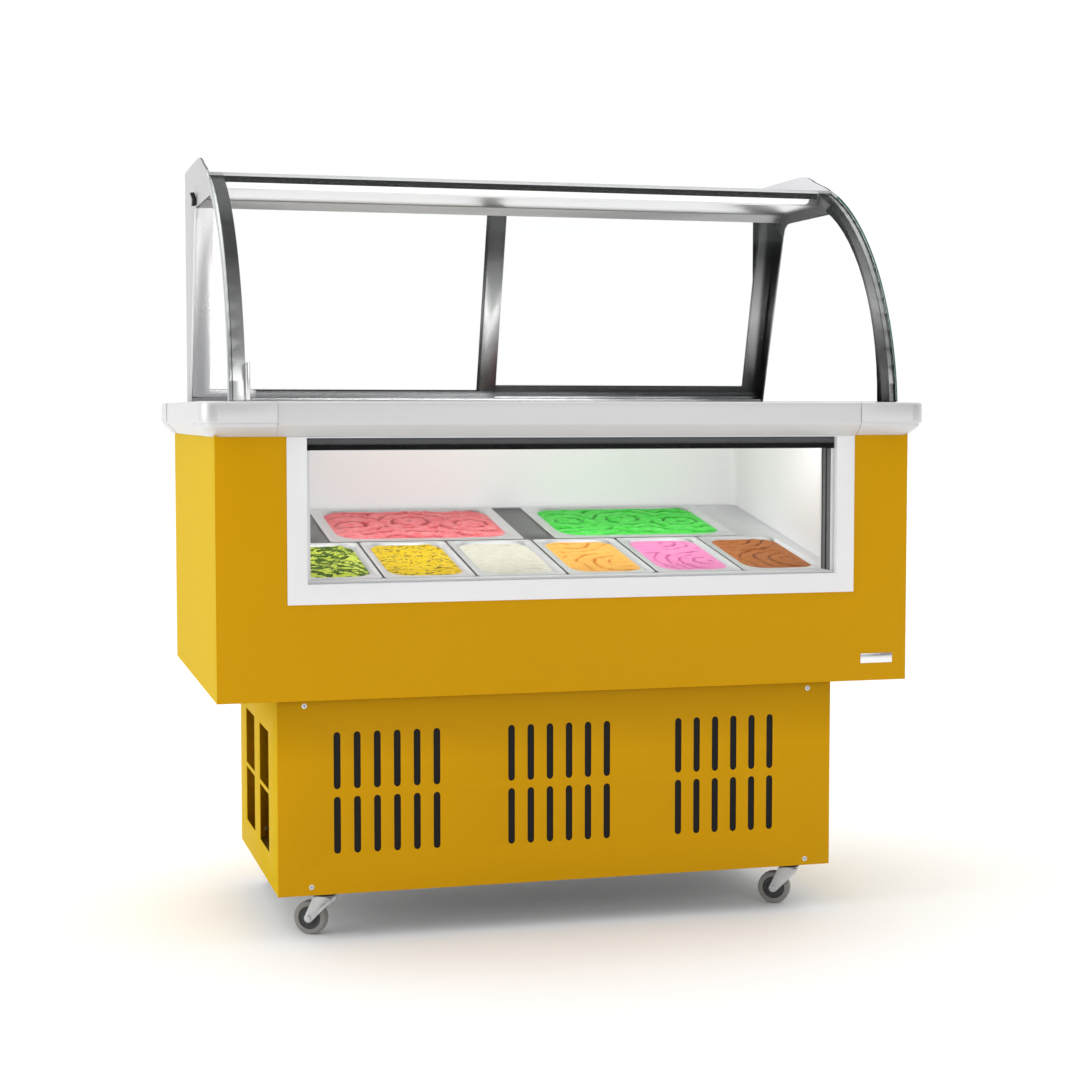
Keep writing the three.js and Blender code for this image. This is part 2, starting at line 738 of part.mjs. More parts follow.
// ---------------------------------------------------------------- sliding rear doors
// A door lies in the sloping plane: drawn in (x, w) and given thickness n, then leaned forward.
function leaned(outline, n0, n1, holes) {
  const g = new THREE.ExtrudeGeometry(shapeOf(outline, holes), { depth: n1 - n0, bevelEnabled: false });
  const along = new THREE.Vector3(1, 0, 0);
  const up = new THREE.Vector3(0, -Math.sin(lean), Math.cos(lean));
  const out = new THREE.Vector3().crossVectors(along, up);
  const [y, z] = slope(n1, 0);
  return g.applyMatrix4(new THREE.Matrix4().makeBasis(along, up, out)).translate(0, y, z);
}
const doorReach = plateIn - 1.5;
function door(side, x0, x1, n, w0) {
  const w1 = w0 + DOOR.length;
  const pane = [x0 + DOOR.stile, x1 - DOOR.stile, w0 + DOOR.bottom, w1 - DOOR.top];
  const mid = n + DOOR.t / 2;
  part(
    `door_${side}`,
    leaned(rect(x0, x1, w0, w1), n, n + DOOR.t, [rect(...pane)]),
    COLOURS.steel,
    METAL,
  );
  const glass = [pane[0] + GAP, pane[1] - GAP, pane[2] + GAP, pane[3] - GAP];
  part(`door_glass_${side}`, leaned(rect(...glass), mid - 2, mid + 2), COLOURS.glass, CLEAR);
}
door("left", -doorReach, DOOR.overlap, 0, GAP);
door("right", -DOOR.overlap, doorReach, DOOR.track, REAR_RISE);

// ---------------------------------------------------------------- pans in their sloping support
const tilt = new THREE.Matrix4().makeBasis(
  new THREE.Vector3(1, 0, 0),
  new THREE.Vector3(0, Math.cos(deg(PAN_TILT)), Math.sin(deg(PAN_TILT))),
  new THREE.Vector3(0, -Math.sin(deg(PAN_TILT)), Math.cos(deg(PAN_TILT))),
);
tilt.setPosition(0, behind(75), 644);

const panBoxes = [];
const panShapes = [];
for (let i = 0; i < FRONT_PANS.count; i += 1) {
  const x = FRONT_PANS.x + (i - (FRONT_PANS.count - 1) / 2) * FRONT_PANS.pitch;
  panBoxes.push([x - FRONT_PANS.w / 2, x + FRONT_PANS.w / 2, FRONT_PANS.v0, FRONT_PANS.v1]);
  panShapes.push(PAN_SHAPES.front);
}
for (const x of REAR_PANS.x) {
  panBoxes.push([x - REAR_PANS.w / 2, x + REAR_PANS.w / 2, REAR_PANS.v0, REAR_PANS.v1]);
  panShapes.push(PAN_SHAPES.rear);
}
const inset = ([a0, a1, b0, b1], d) => [a0 + d, a1 - d, b0 + d, b1 - d];
const RIM_T = 2;

part(
  "pan_support",
  alongZ(
    rect(-liner.x + LINER_T + 1, liner.x - LINER_T - 1, 1.2, 591),
    -SHEET,
    0,
    panBoxes.map((b, i) => {
      const { rim, corner } = panShapes[i];
      return roundRect(...inset(b, rim - LIFT_PLAY), corner - 8, 3);
    }),
  ).applyMatrix4(tilt),
  COLOURS.steel,
  METAL,
);

const narrow = PAN.depth * Math.tan(deg(PAN.taper));
panBoxes.forEach((b, i) => {
  const rimTop = GAP + RIM_T;
  const { rim, corner } = panShapes[i];
  const wall = (d, r, z) => ({ z, points: roundRect(...inset(b, d), r, 4) });
  part(
    `pan_${i + 1}`,
    loft([
      wall(rim + narrow, corner - 8, -PAN.depth),
      wall(rim, corner, GAP),
      wall(0, 8, GAP),
      wall(0, 8, rimTop),
      wall(rim + PAN.sheet, corner - 1, rimTop),
      wall(rim + PAN.sheet + narrow, corner - 9, -PAN.depth + PAN.sheet),
    ]).applyMatrix4(tilt),
    COLOURS.steel,
    METAL,
  );
  const side = rim + PAN.sheet + 0.8;
  part(
    `ice_cream_${i + 1}`,
    loft([
      wall(side + narrow, corner - 9, -PAN.depth + PAN.sheet + 0.8),
      wall(side + 0.6, corner - 2, -3),
      wall(side + 24, corner - 16, 1.5),
    ]).applyMatrix4(tilt),
    FLAVOURS[i],
    { roughness: 0.7 },
  );
});

// ---------------------------------------------------------------- casters
const TREAD = [
  [CASTER.bore, -11],
  [12, -11],
  [13.5, -8],
  [20, -8],
  [21.5, -10],
  [29, -10],
  [31, -7.5],
  [31, 7.5],
  [29, 10],
  [21.5, 10],
  [20, 8],
  [13.5, 8],
  [12, 11],
  [CASTER.bore, 11],
  [CASTER.bore, -11],
].map(([r, y]) => new THREE.Vector2(r, y));
// Built with the axle along local y and the wheel trailing towards local -x, then turned about the swivel.
const fork = () => {
  const cheek = [
    [18, 71.5],
    [-16, 71.5],
    [-33, 34],
    ...arc(-CASTER.trail, CASTER.r, 8, 165, 320, 6),
    [18, 64],
  ];
  const arms = [
    [-15.5, -13],
    [13, 15.5],
  ].map(([y0, y1]) => alongY(cheek, y0, y1));
  return join(
    ...arms,
    box(-16, 18, -15.5, 15.5, 69, 71.5),
    cylinder("z", 17, 71, BASE.z0 - 3.2 - GAP, 0, 0, 16),
    cylinder("y", CASTER.axle, -14, 14, -CASTER.trail, CASTER.r, 16),
    cylinder("y", 6, -19, -14, -CASTER.trail, CASTER.r, 6),
    cylinder("y", 6, 14, 19, -CASTER.trail, CASTER.r, 6),
  );
};
for (const [iy, depth] of [
  [0, "front"],
  [1, "rear"],
]) {
  for (const [ix, side] of [
    [0, "left"],
    [1, "right"],
  ]) {
    const place = new THREE.Matrix4().makeRotationZ(-deg(CASTER.yaw));
    place.setPosition(CASTER_X[ix], CASTER_Y[iy], 0);
    part(`caster_fork_${depth}_${side}`, fork().applyMatrix4(place), COLOURS.steel, METAL);
    const wheel = new THREE.LatheGeometry(TREAD, 20);
    wheel.translate(-CASTER.trail, 0, CASTER.r).applyMatrix4(place);
    part(`caster_wheel_${depth}_${side}`, wheel, COLOURS.rubber);
  }
}

export default group;
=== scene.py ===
import json
import math

import bmesh
import bpy
from mathutils import Matrix, Vector, noise

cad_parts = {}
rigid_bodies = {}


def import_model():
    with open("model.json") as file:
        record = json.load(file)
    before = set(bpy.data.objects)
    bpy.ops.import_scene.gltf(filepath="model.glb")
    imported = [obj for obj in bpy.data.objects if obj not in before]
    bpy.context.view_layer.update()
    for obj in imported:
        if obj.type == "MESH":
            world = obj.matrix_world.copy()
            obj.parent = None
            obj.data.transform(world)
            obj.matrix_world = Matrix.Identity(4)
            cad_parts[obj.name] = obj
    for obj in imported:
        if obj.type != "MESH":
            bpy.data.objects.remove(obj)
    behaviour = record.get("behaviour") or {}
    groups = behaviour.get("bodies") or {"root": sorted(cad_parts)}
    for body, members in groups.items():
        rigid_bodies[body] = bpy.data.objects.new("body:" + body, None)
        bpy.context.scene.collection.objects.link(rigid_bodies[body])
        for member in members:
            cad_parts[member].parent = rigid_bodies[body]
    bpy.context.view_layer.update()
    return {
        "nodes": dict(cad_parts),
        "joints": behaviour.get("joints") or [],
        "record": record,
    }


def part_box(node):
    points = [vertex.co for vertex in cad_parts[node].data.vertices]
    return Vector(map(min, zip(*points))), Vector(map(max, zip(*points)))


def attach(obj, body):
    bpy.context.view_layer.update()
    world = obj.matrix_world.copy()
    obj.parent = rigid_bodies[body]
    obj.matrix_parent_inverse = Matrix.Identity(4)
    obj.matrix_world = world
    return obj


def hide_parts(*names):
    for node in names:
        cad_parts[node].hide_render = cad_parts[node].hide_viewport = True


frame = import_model()
NODES = frame["nodes"]
BODY_OF = {n: b for b, members in frame["record"]["behaviour"]["bodies"].items() for n in members}
SLOT_OF = {s["node"]: s["material_slot"] for s in frame["record"]["subparts"]}
MM = 0.001


# ------------------------------------------------------------------ node boards
def socket_of(sockets, key):
    """The socket with that identifier, or else the first one in use with that name or number."""
    if isinstance(key, int):
        return sockets[key]
    for socket in sockets:
        if socket.identifier == key:
            return socket
    return next(s for s in sockets if s.name == key and s.enabled)


class Value:
    """A number on a node's output. Sums and products of values add their own Math nodes."""

    def __init__(self, board, socket):
        self.board = board
        self.socket = socket

    def __add__(self, other):
        return self.board.number("ADD", self, other)

    def __sub__(self, other):
        return self.board.number("SUBTRACT", self, other)

    def __mul__(self, other):
        return self.board.number("MULTIPLY", self, other)

    def __truediv__(self, other):
        return self.board.number("DIVIDE", self, other)

    def __pow__(self, other):
        return self.board.number("POWER", self, other)

    def __rsub__(self, other):
        return self.board.number("SUBTRACT", other, self)

    def __rtruediv__(self, other):
        return self.board.number("DIVIDE", other, self)

    def __neg__(self):
        return self.board.number("MULTIPLY", self, -1.0)

    __radd__ = __add__
    __rmul__ = __mul__

    def size(self):
        return self.board.number("ABSOLUTE", self)

    def past(self, edge, width):
        """0 below edge and 1 above it, turning over that width."""
        return self.board.number("ADD", (self - edge) / width, 0.5, clamp=True)

    def between(self, low, high, width):
        return self.past(low, width) * (1 - self.past(high, width))


class Board:
    """A node tree with one way to add a node: its settings first, then the values or links of its sockets."""

    def __init__(self, tree, math_node):
        self.tree = tree
        self.math_node = math_node

    def feed(self, socket, value):
        if isinstance(value, Value):
            value = value.socket
        if isinstance(value, bpy.types.NodeSocket):
            self.tree.links.new(value, socket)
        elif isinstance(value, tuple) and socket.type == "RGBA" and len(value) == 3:
            socket.default_value = (*value, 1.0)
        else:
            socket.default_value = value

    def add(self, kind, values=None, stops=None, **settings):
        node = self.tree.nodes.new(kind)
        for key, setting in settings.items():
            setattr(node, key, setting)
        if stops:
            ramp = node.color_ramp
            while len(ramp.elements) < len(stops):
                ramp.elements.new(0.5)
            for element, (place, colour) in zip(ramp.elements, stops):
                element.position = place
                element.color = (*colour, 1.0)
        for key, value in (values or {}).items():
            self.feed(socket_of(node.inputs, key), value)
        return node

    def number(self, operation, *terms, clamp=False):
        values = {i: t for i, t in enumerate(terms)}
        node = self.add(self.math_node, values, operation=operation, use_clamp=clamp)
        return Value(self, node.outputs[0])


class Finish(Board):
    """A material: patterns in the object's own coordinates, ending in one surface shader."""

    def __init__(self, name):
        self.material = bpy.data.materials.new(name)
        self.material.use_nodes = True
        super().__init__(self.material.node_tree, "ShaderNodeMath")
        self.tree.nodes.clear()
        self.place = self.add("ShaderNodeTexCoord").outputs["Object"]

    def axes(self):
        node = self.add("ShaderNodeSeparateXYZ", {0: self.place})
        return [Value(self, out) for out in node.outputs]

    def stretched(self, scale, turn=(0.0, 0.0, 0.0), move=(0.0, 0.0, 0.0)):
        values = {"Vector": self.place, "Scale": scale, "Rotation": turn, "Location": move}
        return self.add("ShaderNodeMapping", values).outputs[0]

    def cloudy(self, scale, detail=2.0, where=None, warp=0.0):
        values = {"Vector": where or self.place, "Scale": scale, "Detail": detail, "Distortion": warp}
        node = self.add("ShaderNodeTexNoise", values)
        return Value(self, socket_of(node.outputs, "Fac"))

    def cells(self, scale, where=None):
        values = {"Vector": where or self.place, "Scale": scale}
        return Value(self, self.add("ShaderNodeTexVoronoi", values).outputs["Distance"])

    def carried(self, name):
        node = self.add("ShaderNodeAttribute", attribute_name=name)
        return Value(self, node.outputs["Fac"])

    def blend(self, share, first, second):
        values = {"Factor_Float": share, "A_Color": first, "B_Color": second}
        node = self.add("ShaderNodeMix", values, data_type="RGBA")
        return socket_of(node.outputs, "Result_Color")

    def surface(self, colour, rough, metal=0.0, relief=None, depth=0.0001, **fixed):
        values = {"Base Color": colour, "Roughness": rough, "Metallic": metal}
        if relief is not None:
            bump = self.add("ShaderNodeBump", {"Height": relief, "Strength": 1.0, "Distance": depth})
            values["Normal"] = bump.outputs["Normal"]
        values.update({key.replace("_", " "): value for key, value in fixed.items()})
        shader = self.add("ShaderNodeBsdfPrincipled", values)
        self.finish_with(shader.outputs["BSDF"])
        return self.material

    def finish_with(self, shader):
        self.add("ShaderNodeOutputMaterial", {"Surface": shader})


def tone(r, g, b, gain=1.0):
    """A screen colour, 0 to 255, as linear light."""
    return tuple(
        min(1.0, gain * (c / 12.92 if c <= 0.04045 else ((c + 0.055) / 1.055) ** 2.4))
        for c in (r / 255, g / 255, b / 255)
    )


def shaded(colour, gain):
    return tuple(min(1.0, c * gain) for c in colour)


# ------------------------------------------------------------------ finishes
def gloss_paint(name, colour, shadow=None, gloss=0.08):
    """Stoved enamel with a faint orange peel. shadow is (low z, high z, gain) of a band of darker paint."""
    f = Finish(name)
    broad = f.cloudy(2.4, 3.0)
    fine = f.cloudy(420.0)
    ground = f.blend(broad, shaded(colour, 0.965), shaded(colour, 1.03))
    if shadow:
        low, high, gain = shadow
        z = f.axes()[2]
        share = ((z - low) / (high - low)).past(0.5, 1.0)
        ground = f.blend(share, ground, shaded(colour, gain))
    rough = 0.46 + 0.06 * fine
    peel = f.cloudy(190.0, 2.0)
    fixed = {"Specular IOR Level": gloss, "Coat Weight": gloss * 0.12, "Coat Roughness": 0.12}
    return f.surface(ground, rough, relief=peel, depth=0.00009, **fixed)


def grained_steel(name, colour, grain, rough=0.3, contrast=0.08, metal=1.0, reach=None):
    """Brushed sheet: long fine scratches along one axis, with a slow change of shade over the sheet.
    reach is (axis, start, end, gain): between two places on an axis the colour turns to itself times gain,
    painting shade where gain is below 1 and light where it is above."""
    f = Finish(name)
    scale = [760.0, 760.0, 760.0]
    scale["xyz".index(grain)] = 5.0
    lines = f.cloudy(1.0, 3.0, where=f.stretched(tuple(scale)))
    broad = f.cloudy(4.0, 2.0)
    marks = lines * 0.7 + broad * 0.3
    ground = f.blend(marks, shaded(colour, 1 - contrast), shaded(colour, 1 + contrast))
    if reach:
        axis, start, end, gain = reach
        along = f.axes()["xyz".index(axis)]
        ground = f.blend(along.past((start + end) / 2, end - start), ground, shaded(colour, gain))
    return f.surface(ground, rough - 0.05 + 0.1 * lines, metal=metal, relief=lines, depth=0.00003)


def polished_metal(name, colour, rough=0.16):
    f = Finish(name)
    lines = f.cloudy(1.0, 2.0, where=f.stretched((300.0, 300.0, 8.0)))
    smudge = f.cloudy(14.0, 3.0)
    ground = f.blend(smudge, shaded(colour, 0.95), colour)
    return f.surface(ground, rough + 0.06 * lines + 0.05 * smudge, metal=1.0)


def reflection_painted_steel(name, stops, plain, where, rough=0.18, stripe=None):
    """Polished steel with painted reflections: its tone drifts up its height, between stops of (height above
    the deck, grey).
    plain is the even painted grey it takes where the given test of x holds, such as an outer face.
    stripe is (x, x, grey) of a paler painted highlight band, edged by thin dark painted lines, that runs the
    whole length of a member."""
    f = Finish(name)
    x, y, z = f.axes()
    low, high = DECK_TOP, DECK_TOP + 0.48
    greys = [(h / (high - low), (g, g, g)) for h, g in stops]
    ramp = f.add("ShaderNodeValToRGB", {"Fac": (z - low) / (high - low)}, stops=greys)
    lines = f.cloudy(1.0, 2.0, where=f.stretched((300.0, 300.0, 8.0)))
    smudge = f.cloudy(14.0, 3.0)
    ground = ramp.outputs["Color"]
    # Painted reflection: thin dark lines, then the pale highlight band along the member.
    if stripe:
        first, last, grey = stripe
        ground = f.blend(x.between(first - 0.0015, last + 0.0015, 0.0008), ground, (0.02, 0.02, 0.021))
        ground = f.blend(x.between(first, last, 0.002) * 0.75, ground, (grey, grey, grey * 1.01))
    # Painted light: the faces picked by where take one even grey.
    ground = f.blend(where(x), ground, (plain, plain, plain * 1.01))
    ground = f.blend(smudge * 0.05 + lines * 0.03, ground, (0.5, 0.5, 0.51))
    dull = {"Specular Tint": (0.2, 0.2, 0.2, 1.0)}
    return f.surface(ground, rough + 0.06 * lines + 0.05 * smudge, metal=1.0, **dull)


def moulded_plastic(name, colour, rough=0.35, grain=900.0, depth=0.00004):
    f = Finish(name)
    broad = f.cloudy(6.0, 2.0)
    pits = f.cloudy(grain, 2.0)
    ground = f.blend(broad, shaded(colour, 0.96), shaded(colour, 1.02))
    return f.surface(ground, rough - 0.04 + 0.1 * pits, relief=pits, depth=depth)


def clear_glass(name, tint, gloss=0.03, reflect=0.06):
    """Thin pane: mostly see-through, with a sheen that grows at a shallow angle and a trace of wiping."""
    f = Finish(name)
    sheen = Value(f, f.add("ShaderNodeLayerWeight", {"Blend": 0.2}).outputs["Fresnel"])
    wiped = f.cloudy(5.0, 2.0, warp=0.6)
    through = f.add("ShaderNodeBsdfTransparent", {"Color": tint})
    skin_values = {"Base Color": (0.8, 0.85, 0.84), "Roughness": gloss + 0.02 * wiped, "Metallic": 0.0}
    skin = f.add("ShaderNodeBsdfPrincipled", {**skin_values, "IOR": 1.5})
    share = sheen * reflect + 0.004 * wiped
    both = f.add("ShaderNodeMixShader", {0: share, 1: through.outputs[0], 2: skin.outputs["BSDF"]})
    f.finish_with(both.outputs[0])
    return f.material


def green_edge(name):
    """The sawn and polished edge of a pane, where the glass shows its own colour, painted near white at its
    top as a highlight.
    """
    f = Finish(name)
    depth = f.cloudy(60.0, 2.0)
    ground = f.blend(depth, tone(40, 92, 78), tone(92, 140, 126))
    # Painted highlight: the top of the edge turns near white.
    top = f.axes()[2].past(1.388, 0.004)
    ground = f.blend(top, ground, tone(226, 230, 229))
    return f.surface(ground, 0.18 + 0.1 * depth, IOR=1.5)


def spacer_black(name, head):
    """Black sealed spacer with aluminium bands on its reveal, and the aluminium upper half of its header
    painted dark grey as shade.
    """
    f = Finish(name)
    x, y, z = f.axes()
    y0, y1 = head["y"]
    black = tone(5, 5, 6)
    depth = (y - y0) / (y1 - y0)
    stripes = depth.between(0.05, 0.42, 0.05) + depth.between(0.58, 0.88, 0.05)
    bands = f.blend(stripes, black, tone(120, 121, 124))
    facing = 1 - depth.past(0.02, 0.01)
    border = f.blend(facing, bands, tone(226, 226, 228))
    low = 1 - z.past(head["foot"], 0.0006)
    border = f.blend(low, border, tone(226, 226, 228))
    # Painted shade: the header's upper half is aluminium in dark greys.
    shade = f.blend(z.between(head["middle"], head["top"], 0.012), tone(52, 52, 54), tone(92, 93, 96))
    strip = f.blend(z.past(head["middle"], 0.002), black, shade)
    ground = f.blend(z.past(head["strip"], 0.0004), border, strip)
    grime = f.cloudy(30.0, 3.0)
    return f.surface(ground, 0.42 + 0.15 * grime, relief=grime, depth=0.00004, Specular_IOR_Level=0.12)


def galvanised(name, colour):
    f = Finish(name)
    flakes = f.cells(60.0)
    broad = f.cloudy(9.0, 3.0)
    ground = f.blend(flakes * 0.8 + broad * 0.3, shaded(colour, 0.86), shaded(colour, 1.08))
    return f.surface(ground, 0.36 + 0.2 * flakes, metal=0.85, relief=flakes, depth=0.00002)


def worn_rubber(name, colour, gloss=0.5):
    f = Finish(name)
    dust = f.cloudy(40.0, 4.0)
    pits = f.cloudy(800.0, 2.0)
    ground = f.blend(dust, shaded(colour, 0.8), shaded(colour, 1.12))
    return f.surface(ground, 0.62 + 0.2 * dust, relief=pits, depth=0.00008, Specular_IOR_Level=gloss)


def foam_board(name, colour):
    f = Finish(name)
    bubbles = f.cells(420.0)
    return f.surface(f.blend(bubbles, colour, shaded(colour, 0.8)), 0.9, relief=bubbles, depth=0.0004)


def woven_filter(name, colour):
    f = Finish(name)
    x, y, z = f.axes()
    weave = f.number("SINE", x * 2600.0) * f.number("SINE", z * 2600.0)
    dust = f.cloudy(30.0, 4.0)
    return f.surface(f.blend(dust, colour, shaded(colour, 1.5)), 0.85, relief=weave, depth=0.0003)


def lamp_diffuser(name):
    f = Finish(name)
    ribs = f.cloudy(1.0, 1.0, where=f.stretched((2.0, 900.0, 900.0)))
    ground = f.blend(ribs, tone(240, 240, 238), tone(252, 252, 250))
    return f.surface(
        ground, 0.4, relief=ribs, depth=0.00005, Emission_Color=(1.0, 1.0, 0.98), Emission_Strength=0.45
    )


def frozen(name, ground, dark, light, streak=0.0, specks=None, lumps=1.0):
    """Ice cream: crystals and small pits, drag lines from the scoop along X, a darker colour in the drag
    grooves that the carried groove value marks, and a paler colour where clumps and drag lines rise. specks
    is (colour, share, size) of what is stirred in."""
    f = Finish(name)
    groove = f.carried("groove")
    crystals = f.cloudy(620.0, 3.0)
    clumps = f.cloudy(58.0, 4.0, warp=0.8)
    drag = f.cloudy(1.0, 3.0, where=f.stretched((26.0, 210.0, 210.0)), warp=0.9)
    shade = f.blend(groove, ground, dark)
    pale = (clumps * 0.6 + drag * streak).past(0.62, 0.34) * 0.55
    shade = f.blend(pale * (1 - groove), shade, light)
    if specks:
        colour, share, size = specks
        scatter = f.cloudy(size, 2.0, where=f.stretched((0.55, 1.0, 1.0)), warp=0.5)
        field = f.cloudy(9.0, 2.0)
        shade = f.blend((scatter + field * 0.22).past(share, 0.03), shade, colour)
    relief = crystals * 0.2 + clumps * 0.8 * lumps + drag * streak * 0.9
    return f.surface(
        shade,
        0.5 + 0.2 * crystals,
        relief=relief,
        Specular_IOR_Level=0.2,
        depth=0.0034,
        Subsurface_Weight=0.12,
        Subsurface_Radius=(0.004, 0.0025, 0.0018),
        Subsurface_Scale=0.6,
    )


YELLOW = tone(206, 152, 0)
# The sides take a paler, more lemon copy of the body yellow: painted light, as if lit from the left.
LIT_SIDE_YELLOW = tone(205, 170, 0)
STEEL = (0.60, 0.605, 0.62)

BODY_ENAMEL = gloss_paint("body_enamel", YELLOW)
# Paint for the side, rear and base housing sheets: the paler copy of the body yellow, painted light.
LIT_SIDE_ENAMEL = gloss_paint("side_enamel", LIT_SIDE_YELLOW, gloss=0.01)
# The baffle behind the side vents takes a brighter yellow than the body: painted light, lifting it out of the
# shade inside the base.
BAFFLE_LIT_ENAMEL = gloss_paint("baffle_enamel", tone(255, 214, 4))
base_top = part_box("base_front_panel")[1].z
BASE_ENAMEL = gloss_paint("base_enamel", YELLOW, shadow=(base_top - 0.115, base_top + 0.02, 0.66))
FRAME_WHITE = moulded_plastic("window_frame_white", tone(236, 236, 237), 0.3)
LINER_WHITE = moulded_plastic("liner_white", tone(240, 240, 240), 0.4, 300.0, 0.00006)
SEAL_BLACK = moulded_plastic("seal_black", tone(12, 12, 13), 0.5, 1200.0)
LINE_BLACK = worn_rubber("shelf_seal_black", tone(4, 4, 4), gloss=0.05)
SWITCH_BLACK = moulded_plastic("switch_black", tone(20, 20, 22), 0.28)
FAN_BLACK = moulded_plastic("fan_black", tone(24, 24, 26), 0.5)
HUB_DARK = moulded_plastic("wheel_hub_dark", tone(58, 58, 60), 0.45)
# Dark grey of the screws' cross recess: painted shade standing for the hollow.
RECESS_SHADE_DARK = moulded_plastic("screw_recess_dark", tone(34, 34, 36), 0.6)
SHELL_BLACK = gloss_paint("compressor_black", tone(34, 34, 36))
DECK_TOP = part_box("deck")[0].z + 0.034
DECK_STEEL = grained_steel("deck_steel", STEEL, "x", 0.26)
# The shelf steel darkens to 0.45 of its tone past y 0.16, towards its rear: painted shade.
SHELF_SHADED_STEEL = grained_steel("shelf_steel", (0.8, 0.8, 0.805), "x", 0.36, reach=("y", 0.12, 0.2, 0.45))
# The pan support is near black, painted shade, and lightens past x 0.375 to its own steel tone.
SUPPORT_SHADED_STEEL = grained_steel("pan_support_steel", (0.1, 0.1, 0.102), "x", 0.3, reach=("x", 0.25, 0.5, 8.0))
PAN_STEEL = grained_steel("pan_steel", (0.78, 0.785, 0.79), "y", 0.36, 0.04)
RAIL_ALUMINIUM = grained_steel("rail_aluminium", (0.64, 0.64, 0.645), "x", 0.42, 0.03, metal=0.5)
CAP_ALUMINIUM = grained_steel("cap_aluminium", (0.63, 0.63, 0.635), "z", 0.4, 0.03, metal=0.5)
# The end plates' outer faces and the rear of the left leg take flat, nearly diffuse greys in place of
# polished steel: painted light.
OUTER_PLATE_LIT_GREY = grained_steel("outer_plate_steel", (0.44, 0.44, 0.445), "z", 0.4, 0.05, metal=0.15)
# Inner faces of the end plates: near black below z 1.402 as painted shade, and 26 times lighter above it,
# over the glass, as painted light.
PLATE_TOP_PAINTED_LIGHT = ("z", 1.398, 1.406, 26.0)
PLATE_SHADE_AND_LIGHT = grained_steel("end_plate_steel", (0.03, 0.03, 0.031), "z", 0.4, 0.05, 0.15, PLATE_TOP_PAINTED_LIGHT)
LEG_LIT_GREY = grained_steel("end_leg_steel", (0.93, 0.93, 0.935), "z", 0.5, 0.03, metal=0.05)
# Outer faces of the end frames, which take an even painted grey.
outer_left = lambda x: 1 - x.past(-0.6325, 0.001)
outer_right = lambda x: x.past(0.6325, 0.001)
# Painted reflections on the left end frame: grey stops up its height, a pale outer face and a pale stripe.
LEFT_FRAME_REFLECTIONS = reflection_painted_steel(
    "left_frame_steel",
    [
        (0.0, 0.86),
        (0.07, 0.72),
        (0.13, 0.3),
        (0.2, 0.12),
        (0.26, 0.03),
        (0.33, 0.02),
        (0.39, 0.12),
        (0.45, 0.3),
    ],
    0.5,
    outer_left,
    stripe=(-0.64, -0.628, 0.8),
)
# Painted reflections on the right end frame: grey stops up its height, a pale outer face and a pale stripe.
RIGHT_FRAME_REFLECTIONS = reflection_painted_steel(
    "right_frame_steel",
    [
        (0.0, 0.02),
        (0.05, 0.05),
        (0.1, 0.12),
        (0.19, 0.3),
        (0.26, 0.16),
        (0.33, 0.04),
        (0.4, 0.02),
        (0.45, 0.12),
    ],
    0.5,
    outer_right,
    stripe=(0.6205, 0.6285, 0.42),
)
# Painted reflections on the door frames: a pale foot, dark and pale bands up the height, pale grey left of x
# -0.5.
DOOR_REFLECTIONS = reflection_painted_steel(
    "door_frame_metal",
    [
        (0.0, 0.62),
        (0.019, 0.5),
        (0.026, 0.04),
        (0.06, 0.05),
        (0.12, 0.2),
        (0.19, 0.36),
        (0.26, 0.2),
        (0.32, 0.05),
        (0.4, 0.03),
    ],
    0.85,
    lambda x: 1 - x.past(-0.5, 0.01),
    0.2,
)
BADGE_METAL = polished_metal("badge_metal", (0.8, 0.8, 0.8), 0.14)
SCREW_ZINC = polished_metal("screw_zinc", (0.66, 0.68, 0.72), 0.24)
FORK_ZINC = galvanised("fork_zinc", (0.62, 0.63, 0.64))
TRAY_ZINC = galvanised("tray_zinc", (0.5, 0.51, 0.52))
COIL_GREY = grained_steel("coil_grey", (0.32, 0.325, 0.33), "z", 0.4)
TREAD_GREY = worn_rubber("tread_grey", tone(146, 143, 139))
PANE = clear_glass("window_pane", (0.994, 0.996, 0.995))
CANOPY_PANE = clear_glass("canopy_pane", (0.994, 0.997, 0.996), reflect=0.035)
PANE_EDGE = green_edge("pane_edge_green")
DIFFUSER = lamp_diffuser("lamp_diffuser")
FOAM = foam_board("foam_cream", tone(232, 222, 176))
# The filter cloth is near black: painted shade for the inside of the base behind the slots.
FILTER_SHADE_BLACK = woven_filter("filter_black", tone(6, 6, 7))


# ------------------------------------------------------------------ making pieces
def piece(name, mesh, body, stands_for=(), materials=()):
    """Links a finished mesh, which holds its own place, and lets it move with its body."""
    for material in materials:
        mesh.materials.append(material)
    item = bpy.data.objects.new(name, mesh)
    bpy.context.scene.collection.objects.link(item)
    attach(item, body)
    if stands_for:
        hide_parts(*stands_for)
    return item


def mesh_from(name, vertices, faces, smooth_below=30.0):
    """A closed mesh with outward faces, shaded smooth across folds flatter than smooth_below degrees."""
    mesh = bpy.data.meshes.new(name)
    mesh.from_pydata(vertices, [], faces)
    build = bmesh.new()
    build.from_mesh(mesh)
    bmesh.ops.remove_doubles(build, verts=build.verts, dist=1e-6)
    bmesh.ops.recalc_face_normals(build, faces=build.faces)
    build.to_mesh(mesh)
    build.free()
    soften(mesh, smooth_below)
    return mesh


def soften(mesh, smooth_below):
    mesh.shade_smooth()
    mesh.set_sharp_from_angle(angle=math.radians(smooth_below))


